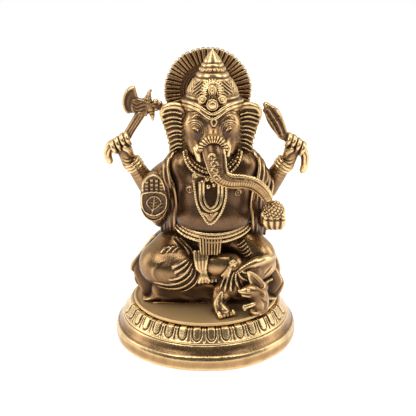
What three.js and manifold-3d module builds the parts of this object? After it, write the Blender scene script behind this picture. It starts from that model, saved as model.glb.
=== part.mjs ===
// A seated four-armed elephant-headed deity on a round lotus plinth, cast in brass as sub-castings
// that are brazed together. Millimetres, +Z up. The figure faces -Y, so its own left hand is on +X.
// The origin is the centre of the plinth's foot, on the surface that the statue stands on.
import * as THREE from "three";
import { mergeVertices } from "three/addons/utils/BufferGeometryUtils.js";
import Module from "manifold-3d";

const wasm = await Module();
wasm.setup();

// ---- driving dimensions ----
const BASE_RADIUS = 47.5; // plinth foot
const STATUE_HEIGHT = 152; // foot to crown tip
const SEAT_TOP = 21.5; // where the figure's cushion and foot rest
const BODY_X = 2.5; // the hand-set figure sits a little to its own left of the plinth's centre
const HEAD_X = 3.4; // and the head a little more
const BRAZE_GAP = 0.3; // filler space between sub-castings
const ROUND = 8; // sides of a limb
const RING = 28; // sides of a turned ring

// Heights that the figure hangs on.
const CUSHION_TOP = SEAT_TOP + 12;
const BELLY_Z = SEAT_TOP + 52;
const SHOULDER_Z = SEAT_TOP + 70.5;
const HEAD_Z = SHOULDER_Z + 22;
const CROWN_FOOT_Z = HEAD_Z + 9.5;

const RIGHT = -1;
const LEFT = 1;

// ---- materials ----
const brass = (color, roughness) => new THREE.MeshStandardMaterial({ color, roughness, metalness: 1 });
const warmBrass = brass(0xa87b3c, 0.32);
const brightBrass = brass(0xd0a458, 0.25);
const darkBrass = brass(0x6e4c25, 0.42);

// ---- shapes: each is a function of how far its surface is grown, so a neighbour can be cut clear ----
const point = (x, y, z) => new THREE.Vector3(x, y, z);

function solid(geometry) {
  const bare = geometry.index ? geometry.toNonIndexed() : geometry.clone();
  bare.deleteAttribute("normal");
  bare.deleteAttribute("uv");
  const merged = mergeVertices(bare, 1e-4);
  const vertProperties = merged.attributes.position.array;
  const triVerts = new Uint32Array(merged.index.array);
  const made = new wasm.Manifold(new wasm.Mesh({ numProp: 3, vertProperties, triVerts }));
  if (made.volume() > 0) return made;
  // A lathe that runs down its axis comes out inside out, so its triangles are turned round.
  for (let i = 0; i < triVerts.length; i += 3) {
    [triVerts[i + 1], triVerts[i + 2]] = [triVerts[i + 2], triVerts[i + 1]];
  }
  return new wasm.Manifold(new wasm.Mesh({ numProp: 3, vertProperties, triVerts }));
}

// An ellipsoid, turned about Y by tilt.
function ball(centre, radii, tilt = 0, around = ROUND + 2, up = 6) {
  return (grow) => {
    const geometry = new THREE.SphereGeometry(1, around, up);
    geometry.scale(radii[0] + grow, radii[1] + grow, radii[2] + grow);
    return solid(geometry.rotateY(tilt).translate(centre.x, centre.y, centre.z));
  };
}

// A tapered rod with round ends, from a to b.
function bone(a, b, radiusA, radiusB, around = ROUND) {
  return (grow) => {
    const along = new THREE.Vector3().subVectors(b, a);
    const length = along.length();
    const low = radiusA + grow;
    const high = radiusB + grow;
    const steps = 2;
    const profile = [];
    for (let i = 0; i <= steps; i++) {
      const angle = (i / steps) * (Math.PI / 2);
      profile.push(new THREE.Vector2(i ? low * Math.sin(angle) : 0, -low * Math.cos(angle)));
    }
    for (let i = steps; i >= 0; i--) {
      const angle = (i / steps) * (Math.PI / 2);
      profile.push(new THREE.Vector2(i ? high * Math.sin(angle) : 0, length + high * Math.cos(angle)));
    }
    const turn = new THREE.Quaternion().setFromUnitVectors(point(0, 1, 0), along.normalize());
    const geometry = new THREE.LatheGeometry(profile, around).applyQuaternion(turn);
    return solid(geometry.translate(a.x, a.y, a.z));
  };
}

// A rod with round ends that bends smoothly through its stops. Each stop is [x, y, z, radius].
// A straight lathed rod with a ring of vertices per station is bent along the curve, ring by ring.
function limb(stops, around = ROUND) {
  const curve = new THREE.CatmullRomCurve3(stops.map(([x, y, z]) => point(x, y, z)), false, "centripetal");
  const perStop = stops.length > 2 ? 2 : 1;
  const last = (stops.length - 1) * perStop;
  const frames = curve.computeFrenetFrames(last, false);
  return (grow) => {
    const stations = [];
    for (let i = 0; i <= last; i++) {
      const at = curve.getUtoTmapping(i / last) * (stops.length - 1);
      const before = Math.min(Math.floor(at), stops.length - 2);
      const radius = THREE.MathUtils.lerp(stops[before][3], stops[before + 1][3], at - before) + grow;
      stations.push({ frame: i, radius, over: 0 });
    }
    const first = stations[0].radius;
    const end = stations[last].radius;
    stations.unshift(
      { frame: 0, radius: 0, over: -first },
      { frame: 0, radius: first * Math.SQRT1_2, over: -first * Math.SQRT1_2 },
    );
    stations.push(
      { frame: last, radius: end * Math.SQRT1_2, over: end * Math.SQRT1_2 },
      { frame: last, radius: 0, over: end },
    );
    const profile = stations.map(({ radius }, i) => new THREE.Vector2(radius, i));
    const geometry = new THREE.LatheGeometry(profile, around);
    const positions = geometry.attributes.position;
    for (let i = 0; i < positions.count; i++) {
      const { frame, over } = stations[Math.round(positions.getY(i))];
      const place = curve.getPointAt(frame / last)
        .addScaledVector(frames.tangents[frame], over)
        .addScaledVector(frames.normals[frame], positions.getX(i))
        .addScaledVector(frames.binormals[frame], -positions.getZ(i));
      positions.setXYZ(i, place.x, place.y, place.z);
    }
    return solid(geometry);
  };
}

// A turned shape about a vertical axis through centre: profile is [radius, z] and starts and ends on the
// axis, or closes on itself. depth squeezes it front to back.
function turned(profile, centre = [0, 0], depth = 1, around = RING) {
  return (grow) => {
    const middle = profile.reduce((sum, p) => sum + p[1], 0) / profile.length;
    const hollow = profile.every((p) => p[0] > 0);
    const mid = profile.reduce((sum, p) => sum + p[0], 0) / profile.length;
    const points = profile.map(([radius, z]) => {
      const outward = hollow ? Math.sign(radius - mid) : 1;
      const wide = radius > 0 ? radius + outward * grow : 0;
      return new THREE.Vector2(wide, z + Math.sign(z - middle) * grow);
    });
    if (hollow) points.push(points[0].clone());
    const geometry = new THREE.LatheGeometry(points, around).rotateX(Math.PI / 2);
    return solid(geometry.scale(1, depth, 1).translate(centre[0], centre[1], 0));
  };
}

// A plate with rounded edges in the X-Z plane: outline is [x, z] points joined by a smooth closed curve,
// and the plate runs from y back by thickness.
function plate(outline, y, thickness, smooth = 20) {
  return (grow) => {
    const corners = outline.map(([x, z]) => point(x, z, 0));
    const curve = new THREE.CatmullRomCurve3(corners, true, "centripetal");
    const edgePoints = curve.getPoints(smooth).slice(0, -1);
    const shape = new THREE.Shape(edgePoints.map((p) => new THREE.Vector2(p.x, p.y)));
    const edge = 0.5 + grow;
    const geometry = new THREE.ExtrudeGeometry(shape, {
      depth: thickness - 1,
      bevelThickness: edge,
      bevelSize: edge - 0.5,
      bevelSegments: 1,
      steps: 1,
    });
    // The shape's own Y becomes Z, and its depth runs towards -Y.
    geometry.rotateX(Math.PI / 2).translate(0, y + thickness - 0.5, 0);
    return solid(geometry);
  };
}

const join = (...shapes) => (grow) => wasm.Manifold.union(shapes.map((shape) => shape(grow)));

// ---- assembly: each new piece is cut clear of the ones already placed ----
const statue = new THREE.Group();
const placed = [];

function overlaps(a, b) {
  return [0, 1, 2].every((i) => a.min[i] < b.max[i] && b.min[i] < a.max[i]);
}

function largest(made) {
  return made.decompose().reduce((best, body) => (body.volume() > best.volume() ? body : best));
}

function add(name, material, shape) {
  let made = shape(0);
  for (const other of placed) {
    if (overlaps(made.boundingBox(), other.grown.boundingBox())) made = made.subtract(other.grown);
  }
  made = largest(made);
  placed.push({ name, grown: shape(BRAZE_GAP) });

  const { vertProperties, triVerts } = made.getMesh();
  const geometry = new THREE.BufferGeometry();
  geometry.setAttribute("position", new THREE.BufferAttribute(new Float32Array(vertProperties), 3));
  geometry.setIndex(new THREE.BufferAttribute(new Uint32Array(triVerts), 1));
  geometry.computeBoundingBox();
  const centre = geometry.boundingBox.getCenter(new THREE.Vector3());
  geometry.translate(-centre.x, -centre.y, -centre.z);
  geometry.computeVertexNormals();
  const mesh = new THREE.Mesh(geometry, material);
  mesh.name = name;
  mesh.position.copy(centre);
  statue.add(mesh);
}

// ---- base: a hollow turned plinth, a ring of lotus petals and a seat that registers in it ----
function addBase() {
  const foot = BASE_RADIUS;
  const wall = 4;
  const bandFoot = SEAT_TOP - 9;
  const bandTop = SEAT_TOP - 2;
  add("plinth", warmBrass, turned([
    [foot - 0.9, 0], [foot, 0.9], [foot, 6.2], [foot - 0.9, 7.4], [foot - 2.2, 9], [foot - 3.4, 11],
    [foot - 4.2, bandFoot - BRAZE_GAP], [foot - 9, bandFoot - BRAZE_GAP],
    [foot - 9, 9.5], [foot - wall, 5], [foot - wall, 0],
  ]));
  add("lotus_band", brightBrass, turned([
    [foot - 9.4, bandFoot - 2], [foot - 9.4, bandFoot], [foot - 4.6, bandFoot],
    [foot - 4.4, bandFoot + 0.8], [foot - 9.3, bandTop], [foot - 13, bandTop], [foot - 12.8, bandFoot - 2],
  ]));
  add("seat_disc", warmBrass, turned([
    [0, bandTop - 3], [foot - 13.5, bandTop - 3], [foot - 13.5, bandTop + BRAZE_GAP],
    [foot - 9.9, bandTop + BRAZE_GAP], [foot - 9.7, SEAT_TOP - 0.6], [foot - 10.3, SEAT_TOP + 0.3],
    [foot - 11.1, SEAT_TOP + 0.3], [foot - 11.8, SEAT_TOP], [0, SEAT_TOP],
  ]));
  const rest = SEAT_TOP + BRAZE_GAP;
  add("cushion", darkBrass, turned(
    [[0, rest], [28, rest], [31, rest + 2.5], [31, rest + 8.5], [28, CUSHION_TOP], [0, CUSHION_TOP]],
    [BODY_X, 6], 0.62, 28,
  ));
}

// ---- body ----
function addTorso() {
  add("torso", warmBrass, join(
    ball(point(BODY_X, -4.5, BELLY_Z), [19.5, 18.5, 16.5], 0, 16, 9),
    ball(point(BODY_X, 4, CUSHION_TOP + 21), [22, 15, 20], 0, 12, 7),
    ball(point(BODY_X, -1, SHOULDER_Z - 4), [17.5, 12, 11], 0, 14, 7),
    bone(point(BODY_X - 15, 1, SHOULDER_Z), point(BODY_X + 15, 1, SHOULDER_Z), 7, 7),
    bone(point(BODY_X, -1, SHOULDER_Z), point(HEAD_X, -2, SHOULDER_Z + 10), 10, 9),
  ));
}

function addHead() {
  add("head", warmBrass, join(
    ball(point(HEAD_X - 0.5, -3, HEAD_Z), [13.2, 12, 13.5], 0, 14, 8),
    ball(point(HEAD_X, -9, HEAD_Z - 3), [10.5, 9, 11], 0, 12, 7),
  ));
  // The crown is an oval cone that bulges below its lowest ring.
  const tip = STATUE_HEIGHT;
  add("crown", brightBrass, turned([
    [0, CROWN_FOOT_Z], [14, CROWN_FOOT_Z], [14.4, CROWN_FOOT_Z + 3], [13.7, tip - 21], [11.8, tip - 17.5],
    [9.8, tip - 15], [7.9, tip - 12], [5.9, tip - 9], [4.3, tip - 6.5], [2, tip - 2.6], [0, tip],
  ], [HEAD_X + 0.2, -1.5], 0.9, 24));
  add("crown_band", brightBrass, turned([
    [12, CROWN_FOOT_Z - 2.5], [15, CROWN_FOOT_Z - 2.5], [15.2, CROWN_FOOT_Z + 1], [12, CROWN_FOOT_Z + 1],
  ], [HEAD_X + 0.2, -1.5], 0.92, 24));
  add("crown_crest", brightBrass, join(
    ball(point(HEAD_X + 0.2, -15, CROWN_FOOT_Z + 3.2), [2.8, 1.6, 2.8]),
    ball(point(HEAD_X + 0.2, -14, CROWN_FOOT_Z + 8.6), [5.4, 1.8, 5.2], 0),
    ball(point(HEAD_X - 4.6, -14, CROWN_FOOT_Z + 4.8), [2.2, 1.6, 2.2]),
    ball(point(HEAD_X + 5, -14, CROWN_FOOT_Z + 4.8), [2.2, 1.6, 2.2]),
  ));
  addHalo();
  addTrunk();
  addEars();
}

function addHalo() {
  const radius = 22.3;
  const centre = point(HEAD_X - 2.1, 0, STATUE_HEIGHT - 1.6 - radius);
  const rim = [];
  for (let i = 0; i < 24; i++) {
    const angle = (i / 24) * 2 * Math.PI;
    rim.push([centre.x + radius * Math.cos(angle), centre.z + radius * Math.sin(angle)]);
  }
  add("halo", darkBrass, plate(rim, 10.8, 3.4, 36));
}

function addTrunk() {
  add("trunk", warmBrass, limb([
    [HEAD_X + 0.4, -15, HEAD_Z + 1, 6.4], [HEAD_X + 0.7, -20.5, HEAD_Z - 6, 5.9],
    [HEAD_X + 1.3, -24.5, HEAD_Z - 14, 5.2], [HEAD_X + 4.3, -26.5, HEAD_Z - 21.5, 4.4],
    [HEAD_X + 10.6, -26.5, HEAD_Z - 24.6, 3.8], [HEAD_X + 17.6, -25.5, HEAD_Z - 25.4, 3.6],
    [HEAD_X + 23.4, -24, HEAD_Z - 28.6, 3.2], [HEAD_X + 26.4, -23, HEAD_Z - 31.4, 2.8],
  ]));
  add("trunk_cloth", brightBrass, limb([
    [HEAD_X - 5.6, -21.5, HEAD_Z - 6.5, 1.7], [HEAD_X - 1.8, -25.4, HEAD_Z - 2.4, 1.8],
    [HEAD_X + 1, -26.4, HEAD_Z - 1, 1.8], [HEAD_X + 4, -25.6, HEAD_Z - 2.6, 1.8],
    [HEAD_X + 7.2, -21.5, HEAD_Z - 7, 1.7],
  ], 8));
  for (const [name, side] of [["right_tusk", RIGHT], ["left_tusk", LEFT]]) {
    const root = point(HEAD_X + 0.5 + side * 6.6, -15, HEAD_Z - 4.5);
    add(name, brightBrass, bone(root, point(root.x + side * 0.9, -22.5, HEAD_Z - 11), 1.7, 1.5, 10));
  }
}

function addEars() {
  const middle = HEAD_X - 0.3;
  const outline = [
    [12.2, 8], [15, 10.6], [20.4, 11.4], [25.4, 8.2], [25.8, 4], [23.2, -2], [21, -9],
    [20.6, -14], [17.6, -15.4], [14.4, -11], [12.4, -2],
  ];
  for (const [name, side] of [["right_ear", RIGHT], ["left_ear", LEFT]]) {
    const ear = outline.map(([out, up]) => [middle + side * out, HEAD_Z + up]);
    if (side === RIGHT) ear.reverse();
    add(name, darkBrass, plate(ear, -4.5, 3.6, 26));
  }
}

// ---- legs: the right one lies folded across the front, the left one comes down to a foot on the seat ----
function addLegs() {
  add("right_thigh", warmBrass, join(
    bone(point(BODY_X - 9, 1, CUSHION_TOP + 12), point(-24, -8, SEAT_TOP + 22.5), 11, 10.4),
    ball(point(-14.5, -11, SEAT_TOP + 21), [18, 11.5, 11], 0.1, 14, 8),
  ));
  add("left_thigh", warmBrass, join(
    bone(point(BODY_X + 8, 1, CUSHION_TOP + 13), point(26.8, -7, SEAT_TOP + 24.5), 11, 9.6),
    bone(point(26.8, -7, SEAT_TOP + 24.5), point(25, -11, SEAT_TOP + 21.5), 9.6, 8.6),
  ));
  add("right_shin", warmBrass, bone(
    point(-4, -18, SEAT_TOP + 24), point(15, -17.5, SEAT_TOP + 26.5), 6, 5.4,
  ));
  add("left_shin", warmBrass, bone(
    point(24, -13, SEAT_TOP + 19.5), point(8, -20.5, SEAT_TOP + 14.5), 8.2, 5,
  ));
  add("left_foot", warmBrass, limb([
    [6.8, -20, SEAT_TOP + 9, 5], [8, -24.5, SEAT_TOP + 4.8, 4.2], [12, -30.5, SEAT_TOP + 3.2, 2.8],
  ]));
  // The gathered cloth that hangs over each shin.
  add("left_pleats", darkBrass, join(
    bone(point(14.5, -24, SEAT_TOP + 29), point(19, -25, SEAT_TOP + 17), 2.8, 4.6),
    bone(point(16.5, -24, SEAT_TOP + 28), point(25, -20, SEAT_TOP + 18.5), 2.8, 4.2),
  ));
  add("right_pleats", darkBrass, bone(
    point(-4.8, -21.5, SEAT_TOP + 30), point(-2.6, -22.5, SEAT_TOP + 15), 3, 3.4,
  ));
  add("sash", darkBrass, join(
    bone(point(BODY_X - 3.4, -20, BELLY_Z - 13), point(BODY_X - 3, -21, BELLY_Z - 19), 2.6, 2.8, 10),
    bone(point(BODY_X + 3.6, -20, BELLY_Z - 13), point(BODY_X + 3.2, -21, BELLY_Z - 19), 2.6, 2.8, 10),
    bone(point(BODY_X, -20.5, BELLY_Z - 13), point(BODY_X, -21.5, BELLY_Z - 19), 2.8, 3, 10),
  ));
}

// ---- arms: side, then joint places, from the shoulder out ----
function addArms() {
  const rear = [
    { side: "right", shoulder: [-14, 4, SHOULDER_Z - 1], elbow: [-27.6, 5, 79], wrist: [-37.4, 2.5, 93.6],
      fist: [-41.6, 0.5, 102.8] },
    { side: "left", shoulder: [19, 4, SHOULDER_Z - 1], elbow: [32, 5, 78], wrist: [41.3, 2.5, 92.6],
      fist: [44.6, 0.5, 102] },
  ];
  for (const { side, shoulder, elbow, wrist, fist } of rear) {
    add(`${side}_rear_upper_arm`, warmBrass, limb([[...shoulder, 6.6], [...elbow, 5.6]]));
    add(`${side}_rear_hand`, warmBrass, join(
      ball(point(...fist), [5.2, 4.6, 5.8]),
      bone(point(...wrist), point(...fist), 3.4, 3.6),
    ));
    add(`${side}_rear_forearm`, warmBrass, limb([[...elbow, 5.4], [...wrist, 3.8]]));
    const along = new THREE.Vector3(...wrist).sub(new THREE.Vector3(...elbow)).normalize();
    const low = new THREE.Vector3(...wrist).addScaledVector(along, -4.5);
    add(`${side}_bangle`, brightBrass, bone(low, low.clone().addScaledVector(along, 1.6), 5, 4.9, 14));
  }
  const front = [
    { side: "right", shoulder: [BODY_X - 18, -1, SHOULDER_Z - 1], elbow: [-26, 1, 62],
      wrist: [-25.6, -13.5, 67.5] },
    { side: "left", shoulder: [BODY_X + 18, -1, SHOULDER_Z - 1], elbow: [31, 2, 61.5],
      wrist: [33.6, -13.5, 66.5] },
  ];
  for (const { side, shoulder, elbow, wrist } of front) {
    add(`${side}_front_upper_arm`, warmBrass, limb([[...shoulder, 6.2], [...elbow, 5.4]]));
    add(`${side}_front_forearm`, warmBrass, limb([[...elbow, 5.2], [...wrist, 4.4]]));
  }
  add("right_palm", warmBrass, ball(point(-25.6, -19.8, 82.2), [6.4, 3.4, 13.2], 0.05));
  add("left_front_hand", warmBrass, ball(point(34.2, -21, 70.6), [5.8, 5.2, 4.9]));
  add("sweet_ball", brightBrass, ball(point(33.9, -21.5, 76), [5.2, 5, 5.3]));
}

// ---- what the rear hands hold ----
function addAttributes() {
  add("axe_handle", darkBrass, bone(point(-31.6, 0, 119), point(-40, 0, 106), 2.2, 2.3, 10));
  add("axe_handle_tail", warmBrass, limb([
    [-44, 0, 103.6, 2.3], [-47.4, 0, 102.2, 2.3], [-48.9, 0, 98.4, 2.3], [-48.3, 0, 95.2, 2.5],
  ], 10));
  add("axe_blade", darkBrass, plate([
    [-34.6, 133.6], [-38.6, 131.6], [-41, 127.4], [-40.6, 122.6], [-38.2, 119.2], [-36.6, 120.8],
    [-32.6, 120.4], [-27.8, 122], [-27.8, 126.6], [-31.6, 126.8], [-33.8, 128.6],
  ], -1.4, 2.8, 34));
  add("axe_collar", darkBrass, join(
    bone(point(-26, 0, 131.6), point(-26.2, 0, 124), 0.7, 2.1, 8),
    bone(point(-26.2, 0, 124), point(-25.2, 0, 116.2), 2.1, 0.7, 8),
  ));
  add("axe_finial", darkBrass, ball(point(-22.6, 0, 123.6), [2.4, 2.2, 2.6], 0, 10, 6));
  add("lotus_bud", darkBrass, plate([
    [29.8, 124.8], [33.8, 123.4], [37.4, 121.6], [39.9, 115], [41.4, 108.6], [39.4, 105.6], [33.4, 111.2],
    [30.4, 117], [29.4, 121],
  ], -2, 4, 26));
  add("bud_stem_tail", warmBrass, limb([
    [45.6, 0, 103.6, 2.4], [48.6, 0, 101, 2.4], [49.9, 0, 95, 2.4], [49.5, 0, 90.4, 2.7],
  ], 10));
}

// ---- ornaments that lie on the body ----
function addOrnaments() {
  add("waist_belt", brightBrass, limb([
    [BODY_X - 19.6, -4, BELLY_Z - 7, 1.7], [BODY_X - 15.5, -14.6, BELLY_Z - 9.6, 1.7],
    [BODY_X - 8, -20.6, BELLY_Z - 11.4, 1.7], [BODY_X, -22.4, BELLY_Z - 12, 1.7],
    [BODY_X + 8, -20.6, BELLY_Z - 11.4, 1.7], [BODY_X + 15.5, -14.6, BELLY_Z - 9.6, 1.7],
    [BODY_X + 19.6, -4, BELLY_Z - 7, 1.7],
  ], 8));
  add("collar_necklace", brightBrass, limb([
    [BODY_X - 11, -6, SHOULDER_Z + 7, 1.9], [BODY_X - 9.4, -11.4, SHOULDER_Z - 2, 1.9],
    [BODY_X - 3.4, -14.6, SHOULDER_Z - 7.4, 1.9], [BODY_X + 3.4, -14.6, SHOULDER_Z - 7.4, 1.9],
    [BODY_X + 9.4, -11.4, SHOULDER_Z - 2, 1.9], [BODY_X + 11, -6, SHOULDER_Z + 7, 1.9],
  ], 8));
  add("garland", brightBrass, limb([
    [BODY_X - 6.6, -14.6, SHOULDER_Z - 9, 1.3], [BODY_X - 6.8, -20.4, BELLY_Z + 8, 1.3],
    [BODY_X - 3.6, -23, BELLY_Z + 2.6, 1.3], [BODY_X, -23.6, BELLY_Z + 1, 1.3],
    [BODY_X + 3.6, -23, BELLY_Z + 2.6, 1.3], [BODY_X + 6.8, -20.4, BELLY_Z + 8, 1.3],
    [BODY_X + 6.6, -14.6, SHOULDER_Z - 9, 1.3],
  ], 8));
  add("garland_pendant", brightBrass, ball(point(BODY_X, -23.3, BELLY_Z - 3), [4.2, 1.6, 3.4]));
  for (const [name, side] of [["right_scarf", RIGHT], ["left_scarf", LEFT]]) {
    const x = (out) => BODY_X + side * out;
    add(name, warmBrass, limb([
      [x(14.5), -2, SHOULDER_Z + 7, 2.6], [x(19), -7.4, SHOULDER_Z + 1, 3],
      [x(18.6), -11, SHOULDER_Z - 9, 3], [x(17.6), -13, BELLY_Z + 2, 2.8], [x(19.4), -11, BELLY_Z - 8, 2.6],
    ], 10));
  }
}

// ---- the bolster behind the figure and the scarf ends that fall over it ----
function addBolster() {
  const rest = SEAT_TOP + BRAZE_GAP;
  for (const [name, side] of [["right_scarf_end", RIGHT], ["left_scarf_end", LEFT]]) {
    const x = (out) => side * out;
    add(name, warmBrass, join(
      bone(point(x(29), -4, rest + 30), point(x(37.6), -3, rest + 11), 1.8, 2.6, 8),
      bone(point(x(37.6), -3, rest + 11), point(x(32), -6, rest + 2.4), 2.6, 2.4, 8),
    ));
  }
  add("bolster", darkBrass, turned([
    [0, rest], [32.5, rest], [36, rest + 4], [39, rest + 9], [39.2, rest + 13], [35.6, rest + 20],
    [29.5, rest + 29], [22, rest + 36], [0, rest + 40],
  ], [1, 9], 0.5, 20));
}

// ---- the mouse at the figure's left foot ----
function addMouse() {
  const x = 27;
  const y = -22.5;
  const rest = SEAT_TOP + BRAZE_GAP;
  add("mouse_body", warmBrass, join(
    ball(point(x, y - 1, rest + 5.6), [5.2, 6.4, 6.8]),
    bone(point(x, y - 1, rest + 9), point(x - 4.4, y - 5, rest + 13), 4, 3.8),
    bone(point(x - 4.4, y - 5, rest + 13), point(x - 10, y - 8.4, rest + 13.4), 3.8, 1.2),
  ));
  add("mouse_ear", warmBrass, join(
    bone(point(x - 2, y - 4.6, rest + 16.6), point(x - 4.2, y - 5.2, rest + 21), 2.4, 0.9, 10),
    bone(point(x - 2, y - 4.6, rest + 16.6), point(x + 0.8, y - 3.6, rest + 17), 2.4, 1, 10),
  ));
  add("mouse_paws", warmBrass, bone(
    point(x - 2.6, y - 5, rest + 5.4), point(x - 9, y - 8, rest + 4.8), 1.7, 1.4, 10,
  ));
}

addBase();
addOrnaments();
addTorso();
addHead();
addLegs();
addArms();
addAttributes();
addMouse();
addBolster();

export default statue;
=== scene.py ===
# The brass statue of a seated, four-armed, elephant-headed deity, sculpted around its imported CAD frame.
# Shapes are pressed into blocks of voxels, one block for each CAD node, and the surfaces of the blocks
# become meshes. The blocks are in millimetres, and the meshes in metres. Most heights count from the seat,
# the shoulders, the eyes or a node's box. Many x and y count straight from the middle of the frame. Points
# are (x, y, z), with a radius last on a rod, or (x, z) on a face.
import math
import bpy
import numpy as np
import openvdb
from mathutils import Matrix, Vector


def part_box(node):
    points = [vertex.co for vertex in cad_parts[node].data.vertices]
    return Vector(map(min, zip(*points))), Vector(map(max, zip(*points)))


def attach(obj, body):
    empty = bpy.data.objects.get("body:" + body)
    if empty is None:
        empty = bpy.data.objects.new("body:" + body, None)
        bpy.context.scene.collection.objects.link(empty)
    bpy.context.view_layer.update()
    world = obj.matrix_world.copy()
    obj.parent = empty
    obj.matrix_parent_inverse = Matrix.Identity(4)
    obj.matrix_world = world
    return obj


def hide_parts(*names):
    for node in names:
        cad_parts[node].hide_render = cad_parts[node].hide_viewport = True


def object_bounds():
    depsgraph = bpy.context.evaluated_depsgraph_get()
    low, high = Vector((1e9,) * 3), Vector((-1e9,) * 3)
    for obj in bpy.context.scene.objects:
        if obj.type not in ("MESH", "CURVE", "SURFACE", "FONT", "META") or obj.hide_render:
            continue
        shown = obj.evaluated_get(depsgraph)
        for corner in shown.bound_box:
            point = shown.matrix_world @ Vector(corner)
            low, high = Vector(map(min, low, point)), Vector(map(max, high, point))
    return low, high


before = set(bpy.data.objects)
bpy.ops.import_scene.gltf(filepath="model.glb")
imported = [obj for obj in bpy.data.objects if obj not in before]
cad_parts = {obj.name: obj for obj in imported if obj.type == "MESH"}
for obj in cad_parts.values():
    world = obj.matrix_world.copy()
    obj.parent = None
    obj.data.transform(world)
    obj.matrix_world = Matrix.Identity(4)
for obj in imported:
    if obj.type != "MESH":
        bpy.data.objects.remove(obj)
cad_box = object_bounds()

MM = 0.001
FAR = 12.0  # millimetres, more than any blend: what a voxel holds where no shape is near
BEYOND = 99  # millimetres, past the front, the back or the side of every block
SIGHT = 0.369  # how far the line of sight falls for each millimetre it goes back
# Voxel sizes, for plain forms, for cloth and limbs, for flat bands of ornament, and for the rest.
COARSE, MEDIUM, BAND, FINE = ((0.54, 0.42, 0.36, 0.32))


# ---- places, from the frame ----
def low(node):
    return np.array(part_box(node)[0]) / MM


def high(node):
    return np.array(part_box(node)[1]) / MM


def mid(node):
    return (low(node) + high(node)) / 2


def mirror(points, middle):
    """The same points on the other side of the plane x = middle."""
    return [(2 * middle - p[0],) + tuple(p[1:]) for p in points]


def shifted(points, right, up):
    return [(x + right, z + up) for x, z in points]


# ---- curves ----
def curve_point(a, b, c, d, t):
    """A point of the smooth curve from b to c, at t from 0 to 1, with a before them and d after."""
    bend = 2 * a - 5 * b + 4 * c - d
    twist = 3 * b - a - 3 * c + d
    return 0.5 * (2 * b + (c - a) * t + bend * t**2 + twist * t**3)


def smooth_path(stops, count):
    """count points along a smooth curve through stops, which may carry a radius after x, y, z."""
    stops = np.asarray(stops, float)
    if len(stops) == 2:
        return stops[0] + (stops[1] - stops[0]) * np.linspace(0, 1, count)[:, None]
    ends = np.vstack([2 * stops[0] - stops[1], stops, 2 * stops[-1] - stops[-2]])
    at = np.linspace(0, len(stops) - 1 - 1e-6, count)
    i = at.astype(int)
    t = (at - i)[:, None]
    a, b, c, d = ends[i], ends[i + 1], ends[i + 2], ends[i + 3]
    return curve_point(a, b, c, d, t)


def even_path(stops, spacing):
    """Points the same distance apart along the smooth curve through stops."""
    fine = smooth_path(stops, 240)
    run = np.concatenate([[0], np.cumsum(np.linalg.norm(np.diff(fine[:, :3], axis=0), axis=1))])
    wanted = np.linspace(0, run[-1], max(2, int(round(run[-1] / spacing)) + 1))
    return np.stack([np.interp(wanted, run, fine[:, k]) for k in range(fine.shape[1])], 1)


def closed_outline(corners, per_corner=8):
    """A smooth closed outline through 2-D corners."""
    p = np.asarray(corners, float)
    out = []
    for i in range(len(p)):
        a, b, c, d = p[i - 1], p[i], p[(i + 1) % len(p)], p[(i + 2) % len(p)]
        for t in np.arange(per_corner) / per_corner:
            out.append(curve_point(a, b, c, d, t))
    return np.array(out)


# ---- shapes: lists of (distance function, low corner, high corner) ----
def turn_matrix(degrees):
    ax, ay, az = np.radians(degrees)
    (cx, sx), (cy, sy), (cz, sz) = ((math.cos(a), math.sin(a)) for a in (ax, ay, az))
    about_x = np.array([[1, 0, 0], [0, cx, -sx], [0, sx, cx]])
    about_y = np.array([[cy, 0, sy], [0, 1, 0], [-sy, 0, cy]])
    about_z = np.array([[cz, -sz, 0], [sz, cz, 0], [0, 0, 1]])
    return about_z @ about_y @ about_x


def ball(centre, radii, turn=(0, 0, 0)):
    centre = np.asarray(centre, float)
    radii = np.asarray(radii, float) * np.ones(3)
    matrix = turn_matrix(turn)
    reach = np.sqrt(((matrix * radii) ** 2).sum(1))

    def distance(x, y, z):
        p = [x - centre[0], y - centre[1], z - centre[2]]
        q = [matrix[0, k] * p[0] + matrix[1, k] * p[1] + matrix[2, k] * p[2] for k in range(3)]
        near = np.sqrt(sum((q[k] / radii[k]) ** 2 for k in range(3)))
        slope = np.sqrt(sum((q[k] / radii[k] ** 2) ** 2 for k in range(3)))
        return near * (near - 1) / np.maximum(slope, 1e-6)

    return [(distance, centre - reach, centre + reach)]


def rod(stops, count=None):
    """A round rod through stops of (x, y, z, radius), in count points if its curve needs more than usual."""
    stops = np.asarray(stops, float)
    path = smooth_path(stops, count or (2 if len(stops) == 2 else 6 * (len(stops) - 1) + 1))
    parts = []
    for a, b in zip(path[:-1], path[1:]):
        reach = max(a[3], b[3])
        parts.append((segment(a, b), np.minimum(a, b)[:3] - reach, np.maximum(a, b)[:3] + reach))
    return parts


def segment(a, b):
    """The distance to the cone between two stops."""
    along = b[:3] - a[:3]
    squared = max(along @ along, 1e-9)

    def distance(x, y, z):
        px, py, pz = x - a[0], y - a[1], z - a[2]
        h = np.clip((px * along[0] + py * along[1] + pz * along[2]) / squared, 0, 1)
        px, py, pz = px - h * along[0], py - h * along[1], pz - h * along[2]
        radius = a[3] + h * (b[3] - a[3])
        return np.sqrt(px * px + py * py + pz * pz) - radius

    return distance


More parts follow.
